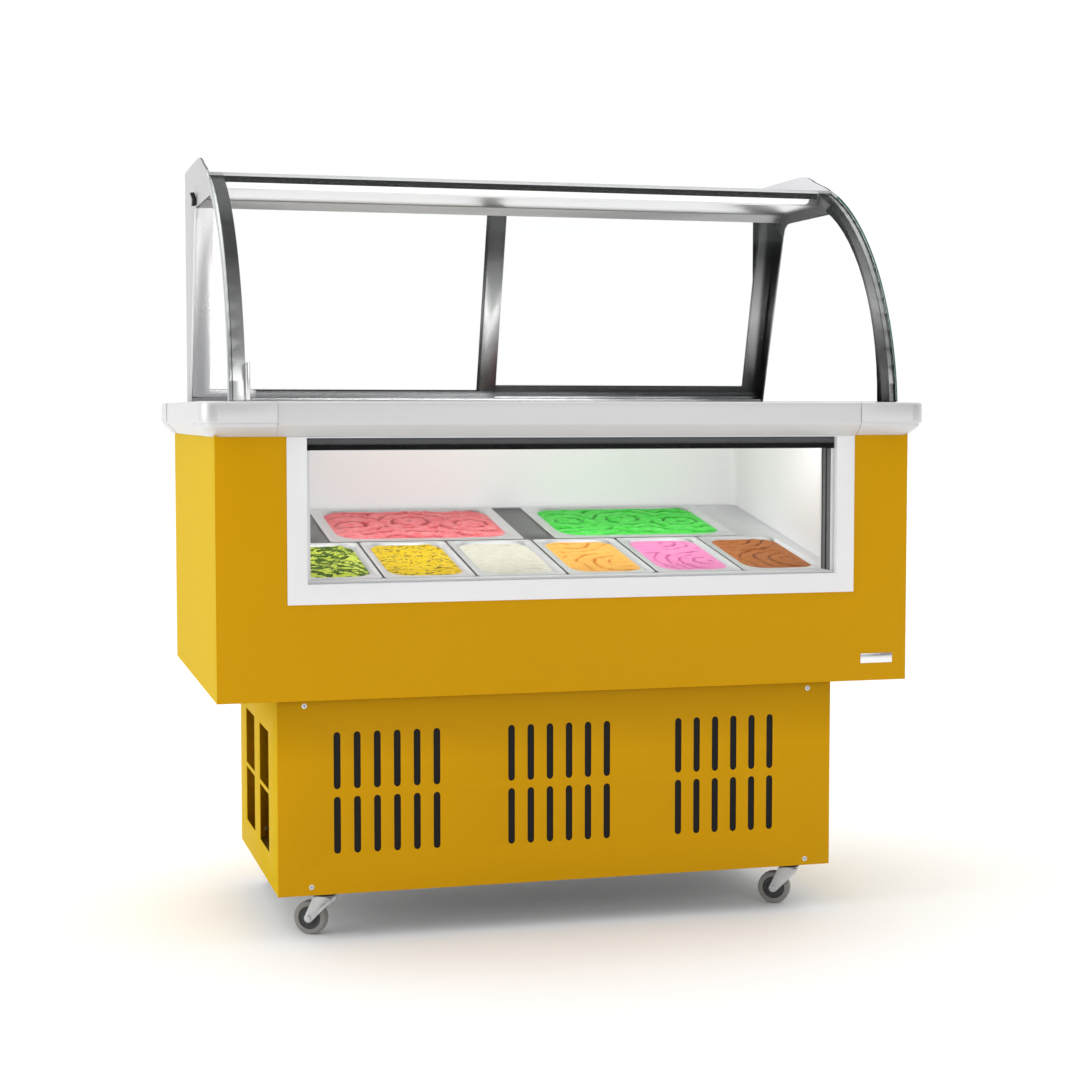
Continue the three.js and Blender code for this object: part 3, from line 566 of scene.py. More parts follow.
def eased(node, material, edge=0.5 * MM, fold=38.0, steps=2, smooth_below=26.0, sort=None, more=()):
    """A finer copy of a model node: its corners eased by a small round, its curves shaded smooth.
    sort gives the number of the material for a face, from its centre and normal."""
    mesh = NODES[node].data.copy()
    mesh.materials.clear()
    build = bmesh.new()
    build.from_mesh(mesh)
    bmesh.ops.remove_doubles(build, verts=build.verts, dist=2e-5)
    bmesh.ops.dissolve_limit(build, angle_limit=math.radians(0.6), verts=build.verts, edges=build.edges)
    if edge:
        limit = math.radians(fold)
        corners = [e for e in build.edges if e.is_manifold and e.calc_face_angle(0.0) > limit]
        bmesh.ops.bevel(
            build,
            geom=corners,
            offset=edge,
            offset_type="OFFSET",
            segments=steps,
            profile=0.5,
            affect="EDGES",
            clamp_overlap=True,
        )
    bmesh.ops.triangulate(build, faces=[f for f in build.faces if len(f.verts) > 4])
    if sort:
        build.normal_update()
        for face in build.faces:
            face.material_index = sort(face.calc_center_median(), face.normal)
    build.to_mesh(mesh)
    build.free()
    soften(mesh, smooth_below)
    mesh.name = node + "_finish"
    return piece(node + "_finish", mesh, BODY_OF[node], (node,), (material, *more))


def painted(node, material):
    """Gives a model node, as it is, its real finish."""
    mesh = NODES[node].data
    mesh.materials.clear()
    mesh.materials.append(material)
    for polygon in mesh.polygons:
        polygon.material_index = 0


def run_along_x(outline, x0, x1, cuts=1):
    """Vertices and faces of an outline, given as (y, z), carried along X."""
    count = len(outline)
    vertices = []
    for k in range(cuts + 1):
        x = x0 + (x1 - x0) * k / cuts
        vertices += [(x, y, z) for y, z in outline]
    faces = [tuple(range(count)), tuple(reversed(range(cuts * count, (cuts + 1) * count)))]
    for k in range(cuts):
        for i in range(count):
            j = (i + 1) % count
            faces.append((k * count + i, k * count + j, (k + 1) * count + j, (k + 1) * count + i))
    return vertices, faces


def rounded_block(low, high, radius, steps=3):
    """Vertices and faces of a box with all its edges rounded."""
    build = bmesh.new()
    middle = (Vector(low) + Vector(high)) / 2
    size = Vector(high) - Vector(low)
    shape = Matrix.Translation(middle) @ Matrix.Diagonal((*size, 1.0))
    bmesh.ops.create_cube(build, size=1.0, matrix=shape)
    bmesh.ops.bevel(
        build,
        geom=list(build.edges),
        offset=radius,
        offset_type="OFFSET",
        segments=steps,
        profile=0.5,
        affect="EDGES",
        clamp_overlap=True,
    )
    mesh = bpy.data.meshes.new("block")
    build.to_mesh(mesh)
    build.free()
    soften(mesh, 40.0)
    return mesh


# ------------------------------------------------------------------ layouts that repeat a small part
class Layout(Board):
    """A geometry node tree with named sizes. It ends in Realize Instances and Set Material."""

    def __init__(self, name, sizes):
        tree = bpy.data.node_groups.new(name, "GeometryNodeTree")
        super().__init__(tree, "ShaderNodeMath")
        face = tree.interface
        self.ids = {}
        self.defaults = dict(sizes)
        face.new_socket("Geometry", in_out="INPUT", socket_type="NodeSocketGeometry")
        for key in sizes:
            made = face.new_socket(key, in_out="INPUT", socket_type="NodeSocketFloat")
            self.ids[key] = made.identifier
        face.new_socket("Geometry", in_out="OUTPUT", socket_type="NodeSocketGeometry")
        self.start = self.add("NodeGroupInput")

    def size(self, key):
        return Value(self, self.start.outputs[key])

    def geometry(self):
        return self.start.outputs["Geometry"]

    def vector(self, x, y, z):
        return self.add("ShaderNodeCombineXYZ", {0: x, 1: y, 2: z}).outputs[0]

    def end(self, instances, material, second=None):
        whole = self.add("GeometryNodeRealizeInstances", {"Geometry": instances}).outputs[0]
        whole = self.add("GeometryNodeSetMaterial", {"Geometry": whole, "Material": material}).outputs[0]
        if second:
            mark = self.add("GeometryNodeInputNamedAttribute", {"Name": "recess"}, data_type="BOOLEAN")
            chosen = mark.outputs["Attribute"]
            values = {"Geometry": whole, "Selection": chosen, "Material": second}
            whole = self.add("GeometryNodeSetMaterial", values).outputs[0]
        self.add("NodeGroupOutput", {"Geometry": whole})

    def grown(self, name, seed_mesh, body, slot, materials, **sizes):
        """Runs the tree over a mesh and keeps the result as a plain mesh."""
        item = bpy.data.objects.new(name, seed_mesh)
        bpy.context.scene.collection.objects.link(item)
        maker = item.modifiers.new("layout", "NODES")
        maker.node_group = self.tree
        for key, size in {**self.defaults, **{k.replace("_", " "): v for k, v in sizes.items()}}.items():
            maker[self.ids[key]] = size
        ready = item.evaluated_get(bpy.context.evaluated_depsgraph_get())
        mesh = bpy.data.meshes.new_from_object(ready)
        bpy.data.objects.remove(item)
        for k, material in enumerate(materials):
            if k >= len(mesh.materials):
                mesh.materials.append(material)
        soften(mesh, 35.0)
        return piece(name, mesh, body)


def seeds(places):
    """A mesh of loose points, each with the direction that it faces."""
    mesh = bpy.data.meshes.new("seeds")
    mesh.from_pydata([p for p, _ in places], [], [])
    facing = mesh.attributes.new("facing", "FLOAT_VECTOR", "POINT")
    for i, (_, direction) in enumerate(places):
        facing.data[i].vector = direction
    return mesh


def screw_layout():
    """Pan-head screws with a washer and a cross recess, drawn as raised bars in painted shade, one at each
    point.
    """
    t = Layout("screw_layout", {"Head Radius": 4.0 * MM, "Head Height": 1.6 * MM})
    radius = t.size("Head Radius")
    height = t.size("Head Height")
    dome = t.add("GeometryNodeMeshUVSphere", {"Segments": 18, "Rings": 8, "Radius": 1.0}).outputs["Mesh"]
    spread = t.vector(radius, radius, height)
    dome = t.add("GeometryNodeTransform", {"Geometry": dome, "Scale": spread}).outputs[0]
    values = {"Vertices": 20, "Radius": radius * 1.2, "Depth": height * 0.5}
    washer = t.add("GeometryNodeMeshCylinder", values).outputs["Mesh"]
    # The cross recess: two raised bars in dark grey, painted shade.
    bars = []
    for long, wide in ((1.15, 0.22), (0.22, 1.15)):
        size = t.vector(radius * long, radius * wide, height * 0.5)
        bar = t.add("GeometryNodeMeshCube", {"Size": size}).outputs["Mesh"]
        lift = t.vector(0.0, 0.0, height * 0.76)
        bars.append(t.add("GeometryNodeTransform", {"Geometry": bar, "Translation": lift}).outputs[0])
    cross = t.add("GeometryNodeJoinGeometry")
    for bar in bars:
        t.feed(cross.inputs[0], bar)
    values = {"Geometry": cross.outputs[0], "Name": "recess", "Value": True}
    mark = t.add("GeometryNodeStoreNamedAttribute", values, data_type="BOOLEAN", domain="FACE")
    head = t.add("GeometryNodeJoinGeometry")
    for shape in (dome, washer, mark.outputs[0]):
        t.feed(head.inputs[0], shape)
    facing = t.add("GeometryNodeInputNamedAttribute", {"Name": "facing"}, data_type="FLOAT_VECTOR")
    turned = t.add("FunctionNodeAlignRotationToVector", {"Vector": facing.outputs["Attribute"]}, axis="Z")
    values = {"Points": t.geometry(), "Instance": head.outputs[0], "Rotation": turned.outputs[0]}
    placed = t.add("GeometryNodeInstanceOnPoints", values)
    t.end(placed.outputs[0], SCREW_ZINC, RECESS_SHADE_DARK)
    return t


def fin_layout():
    """Thin upright fins in a row along Y, starting from one point."""
    sizes = {"Count": 40.0, "Pitch": 5.0 * MM, "Depth": 6.0 * MM, "Height": 0.2, "Sheet": 0.5 * MM}
    t = Layout("fin_layout", sizes)
    step = t.vector(0.0, t.size("Pitch"), 0.0)
    size = t.vector(t.size("Depth"), t.size("Sheet"), t.size("Height"))
    fin = t.add("GeometryNodeMeshCube", {"Size": size}).outputs["Mesh"]
    row = t.add("GeometryNodeMeshLine", {"Count": t.size("Count"), "Offset": step}, mode="OFFSET").outputs[0]
    places = t.add("GeometryNodeInstanceOnPoints", {"Points": row, "Instance": fin}).outputs[0]
    placed = t.add("GeometryNodeInstanceOnPoints", {"Points": t.geometry(), "Instance": places})
    t.end(placed.outputs[0], COIL_GREY)
    return t


def crumb_layout(name, material, seed):
    """Small crumbs pressed into a surface, spread with a fixed seed."""
    t = Layout(name, {"Density": 9000.0, "Crumb Size": 1.4 * MM})
    values = {"Mesh": t.geometry(), "Density": t.size("Density"), "Seed": seed}
    spread = t.add("GeometryNodeDistributePointsOnFaces", values)
    crumb = t.add("GeometryNodeMeshIcoSphere", {"Radius": t.size("Crumb Size"), "Subdivisions": 1})
    values = {"Min": (0.5, 0.5, 0.4), "Max": (1.9, 1.0, 0.8), "Seed": seed + 1}
    sizes = t.add("FunctionNodeRandomValue", values, data_type="FLOAT_VECTOR")
    values = {
        "Points": spread.outputs["Points"],
        "Instance": crumb.outputs["Mesh"],
        "Rotation": spread.outputs["Rotation"],
        "Scale": sizes.outputs["Value"],
    }
    placed = t.add("GeometryNodeInstanceOnPoints", values)
    t.end(placed.outputs[0], material)
    return t


SCREWS = screw_layout()
FINS = fin_layout()
OUT = {"front": (0, -1, 0), "rear": (0, 1, 0), "left": (-1, 0, 0), "right": (1, 0, 0), "down": (0, 0, -1)}

# ------------------------------------------------------------------ machine base
eased("base_front_panel", BASE_ENAMEL, 0.35 * MM)
eased("base_housing", LIT_SIDE_ENAMEL, 0.35 * MM)
tray_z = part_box("base_tray")[0].z
# The tray's raised baffle faces take the brightened baffle paint: painted light.
eased(
    "base_tray",
    TRAY_ZINC,
    0.3 * MM,
    sort=lambda centre, normal: 1 if centre.z > tray_z + 0.012 else 0,
    more=(BAFFLE_LIT_ENAMEL,),
)
eased("compressor", SHELL_BLACK, 0.6 * MM, smooth_below=32.0)
eased("condenser", COIL_GREY, 0.6 * MM)
eased("fan_blade", FAN_BLACK, 0.5 * MM)

base_low, base_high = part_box("base_front_panel")
front_face = base_low.y
corner_screws = [
    ((base_low.x + 0.049, front_face, base_high.z - 0.009), OUT["front"]),
    ((base_high.x - 0.047, front_face, base_high.z - 0.011), OUT["front"]),
    ((base_low.x + 0.060, front_face, base_low.z + 0.015), OUT["front"]),
    ((base_high.x - 0.050, front_face, base_low.z + 0.012), OUT["front"]),
]
screw_seeds = seeds(corner_screws)
SCREWS.grown(
    "base_front_screws", screw_seeds, "cabinet", "body_paint", (), Head_Radius=3.9 * MM, Head_Height=1.4 * MM
)
house_low, house_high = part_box("base_housing")
edge_screws = []
for z in (house_low.z + 0.018, house_high.z - 0.018):
    for y in (house_low.y + 0.06, house_high.y - 0.06):
        edge_screws.append(((house_low.x, y, z), OUT["left"]))
        edge_screws.append(((house_high.x, y, z), OUT["right"]))
    for x in (house_low.x + 0.05, house_high.x - 0.05):
        edge_screws.append(((x, house_high.y, z), OUT["rear"]))
edge_screws = [
    ((x * (1 - 0.0012 * abs(d[0]) / max(abs(x), 1e-6)), y - 0.0012 * d[1], z), d)
    for (x, y, z), d in edge_screws
]
SCREWS.grown("base_side_screws", seeds(edge_screws), "cabinet", "body_paint", (), Head_Height=1.1 * MM)

# Dark woven dust filters close the slots from inside; their near black is painted shade for the dark inside
# of the base.
filter_mesh_y = base_low.y + 1.6 * MM
for k in range(3):
    middle_x = -0.032 + (k - 1) * 0.323
    low = (middle_x - 0.112, filter_mesh_y, 0.145)
    high = (middle_x + 0.112, filter_mesh_y + 3 * MM, 0.392)
    pad = rounded_block(low, high, 0.8 * MM, 2)
    piece(f"dust_filter_shade_{k + 1}", pad, "cabinet", materials=(FILTER_SHADE_BLACK,))

coil_low, coil_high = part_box("condenser")
fin_start = (coil_high.x + 3.2 * MM, coil_low.y + 0.006, (coil_low.z + coil_high.z) / 2)
FINS.grown(
    "condenser_fins",
    seeds([(fin_start, OUT["right"])]),
    "cabinet",
    "condenser",
    (),
    Count=int((coil_high.y - coil_low.y - 0.012) / 0.005) + 1,
    Height=coil_high.z - coil_low.z - 0.012,
)

# ------------------------------------------------------------------ cabinet shell
eased("front_panel", BODY_ENAMEL, 0.5 * MM)
eased("side_panel_left", LIT_SIDE_ENAMEL, 0.5 * MM)
eased("side_panel_right", LIT_SIDE_ENAMEL, 0.5 * MM)
eased("rear_panel", LIT_SIDE_ENAMEL, 0.5 * MM)
painted("insulation", FOAM)
eased("inner_liner", LINER_WHITE, 0.8 * MM)
eased("window_frame", FRAME_WHITE, 1.1 * MM, steps=3, smooth_below=32.0)
painted("window_glass_outer", PANE)
painted("window_glass_inner", PANE)
pane_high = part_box("window_glass_outer")[1]
seal_low, seal_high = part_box("window_spacer")
header = {
    "y": (seal_low.y, seal_high.y),
    "foot": seal_low.z + 4.6 * MM,
    "strip": pane_high.z - 22.2 * MM,
    "middle": pane_high.z - 11.5 * MM,
    "top": pane_high.z,
}
eased("window_spacer", spacer_black("spacer_black", header), 0.3 * MM)

# A thin rounded strip in the paler side paint closes each lower corner of the shell, its lighter colour
# painted light for the highlight along the fold.
shell_low, shell_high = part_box("front_panel")
for side, x in (("left", shell_low.x), ("right", shell_high.x)):
    step = 1.0 if side == "left" else -1.0
    low = (min(x, x + step * 1.6 * MM), shell_low.y, shell_low.z)
    high = (max(x, x + step * 1.6 * MM), shell_low.y + 1.6 * MM, shell_high.z - 0.058)
    fold = rounded_block(low, high, 0.7 * MM, 3)
    piece("corner_fold_" + side, fold, "cabinet", materials=(LIT_SIDE_ENAMEL,))

# Coved corners inside the cold tank.
tank_low, tank_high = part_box("inner_liner")
WALL = 2.0 * MM
COVE = 17.0 * MM


def cove(cx, cy, sx, sy, z0, z1):
    """An upright quarter-round fillet in the corner at (cx, cy), opening towards (sx, sy)."""
    rim = [(cx, cy)]
    for k in range(9):
        a = math.radians(90.0 * k / 8)
        rim.append((cx + sx * COVE * (1 - math.sin(a)), cy + sy * COVE * (1 - math.cos(a))))
    count = len(rim)
    vertices = [(x, y, z) for z in (z0, z1) for x, y in rim]
    faces = [tuple(range(count)), tuple(range(count, 2 * count))]
    faces += [(i, (i + 1) % count, count + (i + 1) % count, count + i) for i in range(count)]
    return mesh_from("cove", vertices, faces)


for side, cx, sx in (("left", tank_low.x + WALL, 1), ("right", tank_high.x - WALL, -1)):
    mesh = cove(cx, tank_high.y - WALL, sx, -1, tank_low.z + WALL, tank_high.z - 1 * MM)
    piece("liner_cove_" + side, mesh, "cabinet", materials=(LINER_WHITE,))

# Blank badge on the lower right of the front.
badge_x = shell_high.x - 0.0615
badge_low = (badge_x - 0.033, shell_low.y - 1.8 * MM, 0.4705)
badge_high = (badge_x + 0.033, shell_low.y + 0.4 * MM, 0.4895)
badge = rounded_block(badge_low, badge_high, 1.0 * MM)
piece("blank_badge", badge, "cabinet", materials=(BADGE_METAL,))

rear_screws = []
rear_low, rear_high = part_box("rear_panel")
for k in range(6):
    x = rear_low.x + 0.05 + k * (rear_high.x - rear_low.x - 0.1) / 5
    rear_screws.append(((x, rear_high.y - 0.0009, rear_low.z + 0.02), OUT["rear"]))
SCREWS.grown("rear_screws", seeds(rear_screws), "cabinet", "body_paint", (), Head_Height=0.85 * MM)

# ------------------------------------------------------------------ deck, rail and caps
eased("deck", DECK_STEEL, 0.3 * MM)
for side in ("front", "rear"):
    eased("rail_" + side, RAIL_ALUMINIUM, 0.6 * MM, smooth_below=20.0)
RAIL_ALONG = grained_steel("side_rail_aluminium", (0.64, 0.64, 0.645), "y", 0.42, 0.03, metal=0.5)
for side in ("left", "right"):
    eased("rail_" + side, RAIL_ALONG, 0.6 * MM, smooth_below=20.0)
    for depth in ("front", "rear"):
        eased(f"corner_cap_{depth}_{side}", CAP_ALUMINIUM, 0.6 * MM, smooth_below=22.0)

# ------------------------------------------------------------------ canopy
for side in ("left", "right"):
    steel = LEFT_FRAME_REFLECTIONS if side == "left" else RIGHT_FRAME_REFLECTIONS
    # Each end frame takes painted reflections on its members, painted light on its outer faces and left rear
    # leg, and painted shade under a painted-light top on its inner plate faces.
    plates = (OUTER_PLATE_LIT_GREY, LEG_LIT_GREY, PLATE_SHADE_AND_LIGHT)

    def plate_or_member(centre, normal, left=side == "left"):
        if abs(normal.x) > 0.9 and abs(centre.x) > 0.6325:
            return 1
        if abs(normal.x) > 0.9 and centre.z > 1.36:
            return 3
        return 2 if left and centre.y > 0.12 else 0

    eased("end_frame_" + side, steel, 0.9 * MM, steps=3, smooth_below=32.0, sort=plate_or_member, more=plates)
eased("top_shelf", SHELF_SHADED_STEEL, 0.4 * MM)
eased("light_strip", DIFFUSER, 0.6 * MM, smooth_below=34.0)
eased("light_switch_rocker", SWITCH_BLACK, 0.4 * MM)

glass_low, glass_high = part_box("canopy_glass")


def which_glass(centre, normal):
    """0 for the face of the pane, 1 for its cut edges."""
    if abs(normal.x) > 0.7:
        return 1
    foot = centre.z < glass_low.z + 0.4 * MM
    head = centre.z > glass_high.z - 3.2 * MM and normal.y > 0.2
    return 1 if foot or head else 0


eased("canopy_glass", CANOPY_PANE, 0.0, sort=which_glass, more=(PANE_EDGE,), smooth_below=12.0)

shelf_low, shelf_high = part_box("top_shelf")
strip_low, strip_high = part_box("light_strip")
lip_y = shelf_low.y
lip_z = shelf_high.z
# A pale angle closes the shelf's front edge over the top edge of the glass.
angle = [
    (lip_y + 0.5 * MM, lip_z - 0.4 * MM),
    (lip_y - 37 * MM, lip_z - 0.8 * MM),
    (lip_y - 38.5 * MM, lip_z - 2.4 * MM),
    (lip_y - 38.5 * MM, lip_z - 7.4 * MM),
    (lip_y - 36 * MM, lip_z - 7.4 * MM),
    (lip_y - 35 * MM, lip_z - 3.4 * MM),
    (lip_y + 0.5 * MM, lip_z - 3.4 * MM),
]
mesh = mesh_from("angle", *run_along_x(angle, strip_low.x, strip_high.x, 4))
piece("glass_top_angle", mesh, "cabinet", materials=(FRAME_WHITE,))
# The black seal hangs behind the glass, under the angle.
seal_top = lip_z - 7.0 * MM
seal = [
    (lip_y - 38 * MM, seal_top),
    (lip_y - 39 * MM, seal_top - 3 * MM),
    (lip_y - 38 * MM, seal_top - 9.5 * MM),
    (lip_y - 36 * MM, seal_top - 12 * MM),
    (lip_y - 33.5 * MM, seal_top - 9.5 * MM),
    (lip_y - 34 * MM, seal_top),
]
mesh = mesh_from("seal", *run_along_x(seal, strip_low.x, strip_high.x, 4))
piece("shelf_seal", mesh, "cabinet", materials=(LINE_BLACK,))

# Bright clamp on the foot of the left curved member.
inner_x = -0.604
clamp_low = (inner_x - 1.5 * MM, -0.3895, 0.9702)
clamp_high = (inner_x + 6.5 * MM, -0.3655, 1.0385)
clamp = rounded_block(clamp_low, clamp_high, 2.2 * MM, 4)
piece("foot_clamp", clamp, "cabinet", materials=(BADGE_METAL,))

for side in ("left", "right"):
    eased("door_" + side, DOOR_REFLECTIONS, 0.8 * MM, steps=3)
    painted("door_glass_" + side, PANE)

# ------------------------------------------------------------------ pans and ice cream
TILT = math.radians(10.0)


def lean(point):
    """A point as (x, along the slope, off the slope)."""
    x, y, z = point
    return x, y * math.cos(TILT) + z * math.sin(TILT), z * math.cos(TILT) - y * math.sin(TILT)


def unlean(x, v, n):
    return x, v * math.cos(TILT) - n * math.sin(TILT), v * math.sin(TILT) + n * math.cos(TILT)


def leaned_extent(node):
    points = [lean(v.co) for v in NODES[node].data.vertices]
    return [(min(p[k] for p in points), max(p[k] for p in points)) for k in range(3)]


eased("pan_support", SUPPORT_SHADED_STEEL, 0.3 * MM)


def scoop_marks(x, v, eddies, spacing):
    """How deep in a drag mark a point lies, 0 to 1: rings about the nearest eddy, broken up by noise."""
    reach = [(math.hypot(x - ex, (v - ev) * 1.15), k) for k, (ex, ev) in enumerate(eddies)]
    near, k = min(reach)
    wander = noise.noise(Vector((x * 14 + k * 7, v * 14, 0.3))) * 0.5
    ring = 0.5 + 0.5 * math.cos(2 * math.pi * (near / spacing + wander))
    gate = 0.5 + 0.9 * noise.noise(Vector((x * 22, v * 22 + k * 5, 2.7)))
    return max(0.0, min(1.0, ring**7 * min(1.0, max(0.0, gate) * 2.2)))


def ice_cream(number, material, fill, crown, marks=None, rough=1.0 * MM, streak=0.0, crumbs=None):
    """The heap in one pan. fill is how far its edge lies below the rim, crown how far its middle stands over
    the edge. marks is (eddies, spacing, depth) of the scoop's drag marks."""
    (x0, x1), (v0, v1), (_, rim) = leaned_extent(f"pan_{number}")
    inset = (14.4 if number <= 6 else 22.4) * MM + fill * math.tan(math.radians(5.5))
    cx, cv = (x0 + x1) / 2, (v0 + v1) / 2
    half_x, half_v = (x1 - x0) / 2 - inset, (v1 - v0) / 2 - inset
    corner = (36.0 if number <= 6 else 46.0) * MM
    fine = 2.4 * MM
    across = max(24, int(2 * half_x / fine))
    along = max(24, int(2 * half_v / fine))
    vertices, faces, grooves = [], [], []
    for j in range(along + 1):
        t = -math.cos(math.pi * j / along)
        v = t * half_v
        cut = max(0.0, abs(v) - (half_v - corner))
        width = half_x - (corner - math.sqrt(max(0.0, corner**2 - cut**2)))
        for i in range(across + 1):
            s = -math.cos(math.pi * i / across) * 0.35 + (2 * i / across - 1) * 0.65
            x = s * width
            inward = min((1 - abs(s)) * width + 0.0001, (1 - abs(t)) * half_v + 0.0001)
            rise = math.sin(min(1.0, inward / 0.034) * math.pi / 2)
            place = Vector((x * 30 + number * 11, v * 30, 1.5))
            lumps = noise.fractal(place, 0.7, 2.2, 5) * rough
            drag = noise.noise(Vector((x * 16 + number, v * 120, 4.0))) * streak
            groove = 0.0
            if marks:
                eddies, spacing, depth = marks
                groove = scoop_marks(x, v, eddies, spacing) * rise
            height = rim - fill + crown * rise + (lumps + drag) * rise
            height -= groove * (marks[2] if marks else 0.0)
            vertices.append(unlean(cx + x, cv + v, height))
            grooves.append(groove)
    row = across + 1
    for j in range(along):
        for i in range(across):
            a = j * row + i
            faces.append((a, a + 1, a + row + 1, a + row))
    border = [i for i in range(row)]
    border += [j * row + across for j in range(1, along + 1)]
    border += [along * row + i for i in range(across - 1, -1, -1)]
    border += [j * row for j in range(along - 1, 0, -1)]
    start = len(vertices)
    for index in border:
        x, v, _ = lean(vertices[index])
        shrink = 0.975
        vertices.append(unlean(cx + (x - cx) * shrink, cv + (v - cv) * shrink, rim - fill - 30 * MM))
        grooves.append(0.0)
    count = len(border)
    for k in range(count):
        m = (k + 1) % count
        faces.append((border[m], border[k], start + k, start + m))
    faces.append(tuple(range(start, start + count)))
    mesh = bpy.data.meshes.new(f"ice_cream_{number}_heap")
    mesh.from_pydata(vertices, [], faces)
    carried = mesh.attributes.new("groove", "FLOAT", "POINT")
    carried.data.foreach_set("value", grooves)
    build = bmesh.new()
    build.from_mesh(mesh)
    bmesh.ops.remove_doubles(build, verts=build.verts, dist=1e-5)
    bmesh.ops.recalc_face_normals(build, faces=build.faces)
    build.to_mesh(mesh)
    build.free()
    soften(mesh, 60.0)
    node = f"ice_cream_{number}"
    heap = piece(f"ice_cream_{number}_heap", mesh, BODY_OF[node], (node,), (material,))
    if crumbs:
        layout, density, size = crumbs
        top = bmesh.new()
        top.from_mesh(mesh)
        off = [f for f in top.faces if f.normal.z < 0.55 or len(f.verts) > 4]
        bmesh.ops.delete(top, geom=off, context="FACES")
        bare = bpy.data.meshes.new("crumb_bed")
        top.to_mesh(bare)
        top.free()
        name = f"ice_cream_{number}_crumbs"
        layout.grown(name, bare, BODY_OF[node], SLOT_OF[node], (), Density=density, Crumb_Size=size)
    return heap


NUT_GREEN = moulded_plastic("nut_crumb_green", tone(44, 66, 10), 0.7)
NUT_BROWN = moulded_plastic("nut_crumb_brown", tone(82, 58, 8), 0.7)
LEAF = (tone(66, 96, 8), 0.6, 110.0)
RIPPLE = (tone(120, 90, 4), 0.7, 150.0)
PISTACHIO = frozen(
    "pistachio_ice", tone(186, 206, 34), tone(110, 136, 14), tone(236, 244, 120), 0.7, LEAF, 1.6
)
CUSTARD = frozen("custard_ice", tone(226, 190, 0), tone(150, 118, 0), tone(250, 226, 40), 0.4, RIPPLE, 1.3)
VANILLA = frozen("vanilla_ice", tone(200, 196, 176), tone(130, 126, 104), tone(232, 230, 218), 0.8, None, 1.2)
MANGO = frozen("mango_ice", tone(238, 156, 34), tone(206, 112, 10), tone(255, 206, 112), 1.5, None, 1.0)
BUBBLEGUM = frozen(
    "bubblegum_ice", tone(232, 106, 172), tone(192, 66, 132), tone(252, 170, 212), 1.6, None, 1.0
)
CARAMEL = frozen("caramel_ice", tone(152, 80, 24), tone(110, 50, 8), tone(204, 128, 66), 1.7, None, 1.0)
STRAWBERRY = frozen(
    "strawberry_ice", tone(238, 84, 94), tone(140, 14, 26), tone(255, 190, 190), 0.7, None, 1.0
)
MINT = frozen("mint_ice", tone(16, 208, 30), tone(0, 96, 8), tone(140, 246, 134), 0.7, None, 1.0)

REAR_EDDIES = [(-0.128, 0.0), (-0.005, 0.02), (0.118, -0.015)]
FRONT_EDDIES = [(-0.03, 0.11), (0.05, -0.06)]
GREEN_CRUMBS = (crumb_layout("green_crumbs", NUT_GREEN, 3), 6400.0, 1.1 * MM)
BROWN_CRUMBS = (crumb_layout("brown_crumbs", NUT_BROWN, 8), 3600.0, 1.0 * MM)
heaps = {
    1: dict(material=PISTACHIO, rough=5.0 * MM, crumbs=GREEN_CRUMBS),
    2: dict(material=CUSTARD, rough=4.0 * MM, crumbs=BROWN_CRUMBS),
    3: dict(material=VANILLA, rough=3.0 * MM, streak=2.4 * MM),
    4: dict(material=MANGO, rough=3.0 * MM, streak=1.8 * MM, marks=(FRONT_EDDIES, 0.03, 2.6 * MM)),
    5: dict(material=BUBBLEGUM, rough=3.0 * MM, streak=2.0 * MM, marks=(FRONT_EDDIES[::-1], 0.028, 2.4 * MM)),
    6: dict(material=CARAMEL, rough=3.0 * MM, streak=2.0 * MM, marks=(FRONT_EDDIES, 0.026, 1.8 * MM)),
    7: dict(material=STRAWBERRY, rough=3.2 * MM, streak=0.6 * MM, marks=(REAR_EDDIES, 0.036, 4.4 * MM)),
    8: dict(material=MINT, rough=3.2 * MM, streak=0.6 * MM, marks=(REAR_EDDIES[::-1], 0.033, 4.2 * MM)),
}
for number, heap in heaps.items():
    eased(f"pan_{number}", PAN_STEEL, 0.0, smooth_below=36.0)
    front = number <= 6
    ice_cream(number, fill=4 * MM if front else 3.5 * MM, crown=4.5 * MM if front else 6 * MM, **heap)

# ------------------------------------------------------------------ casters
for depth in ("front", "rear"):
    for side in ("left", "right"):
        fork = f"caster_fork_{depth}_{side}"
        wheel = f"caster_wheel_{depth}_{side}"
        spin = next(j for j in frame["joints"] if j["child"] == BODY_OF[wheel])
        swivel = next(j for j in frame["joints"] if j["child"] == BODY_OF[fork])
        centre, axle = Vector(spin["pos_m"]), Vector(spin["axis"]).normalized()

        def tread_or_hub(middle, normal, centre=centre, axle=axle):
            arm = middle - centre
            return 0 if (arm - axle * arm.dot(axle)).length > 0.0208 else 1

        eased(wheel, TREAD_GREY, 0.4 * MM, steps=2, smooth_below=24.0, sort=tread_or_hub, more=(HUB_DARK,))
        eased(fork, FORK_ZINC, 0.5 * MM, smooth_below=30.0)
        sx, sy, _ = swivel["pos_m"]
        rings = [
            (19 * MM, 73.5),
            (22.5 * MM, 74.5),
            (24 * MM, 77),
            (23 * MM, 79.6),
            (19 * MM, 80.6),
            (17.4 * MM, 77),
        ]
        turns = 28
        vertices = [
            (sx + r * math.cos(2 * math.pi * k / turns), sy + r * math.sin(2 * math.pi * k / turns), z * MM)
            for k in range(turns)
            for r, z in rings
        ]
        span = len(rings)
        faces = [
            (
                k * span + i,
                ((k + 1) % turns) * span + i,
                ((k + 1) % turns) * span + (i + 1) % span,
                k * span + (i + 1) % span,
            )
            for k in range(turns)
            for i in range(span)
        ]
        ring = mesh_from(f"swivel_ring_{depth}_{side}", vertices, faces, 50.0)
        piece(f"swivel_ring_{depth}_{side}", ring, BODY_OF[fork], materials=(SEAL_BLACK,))

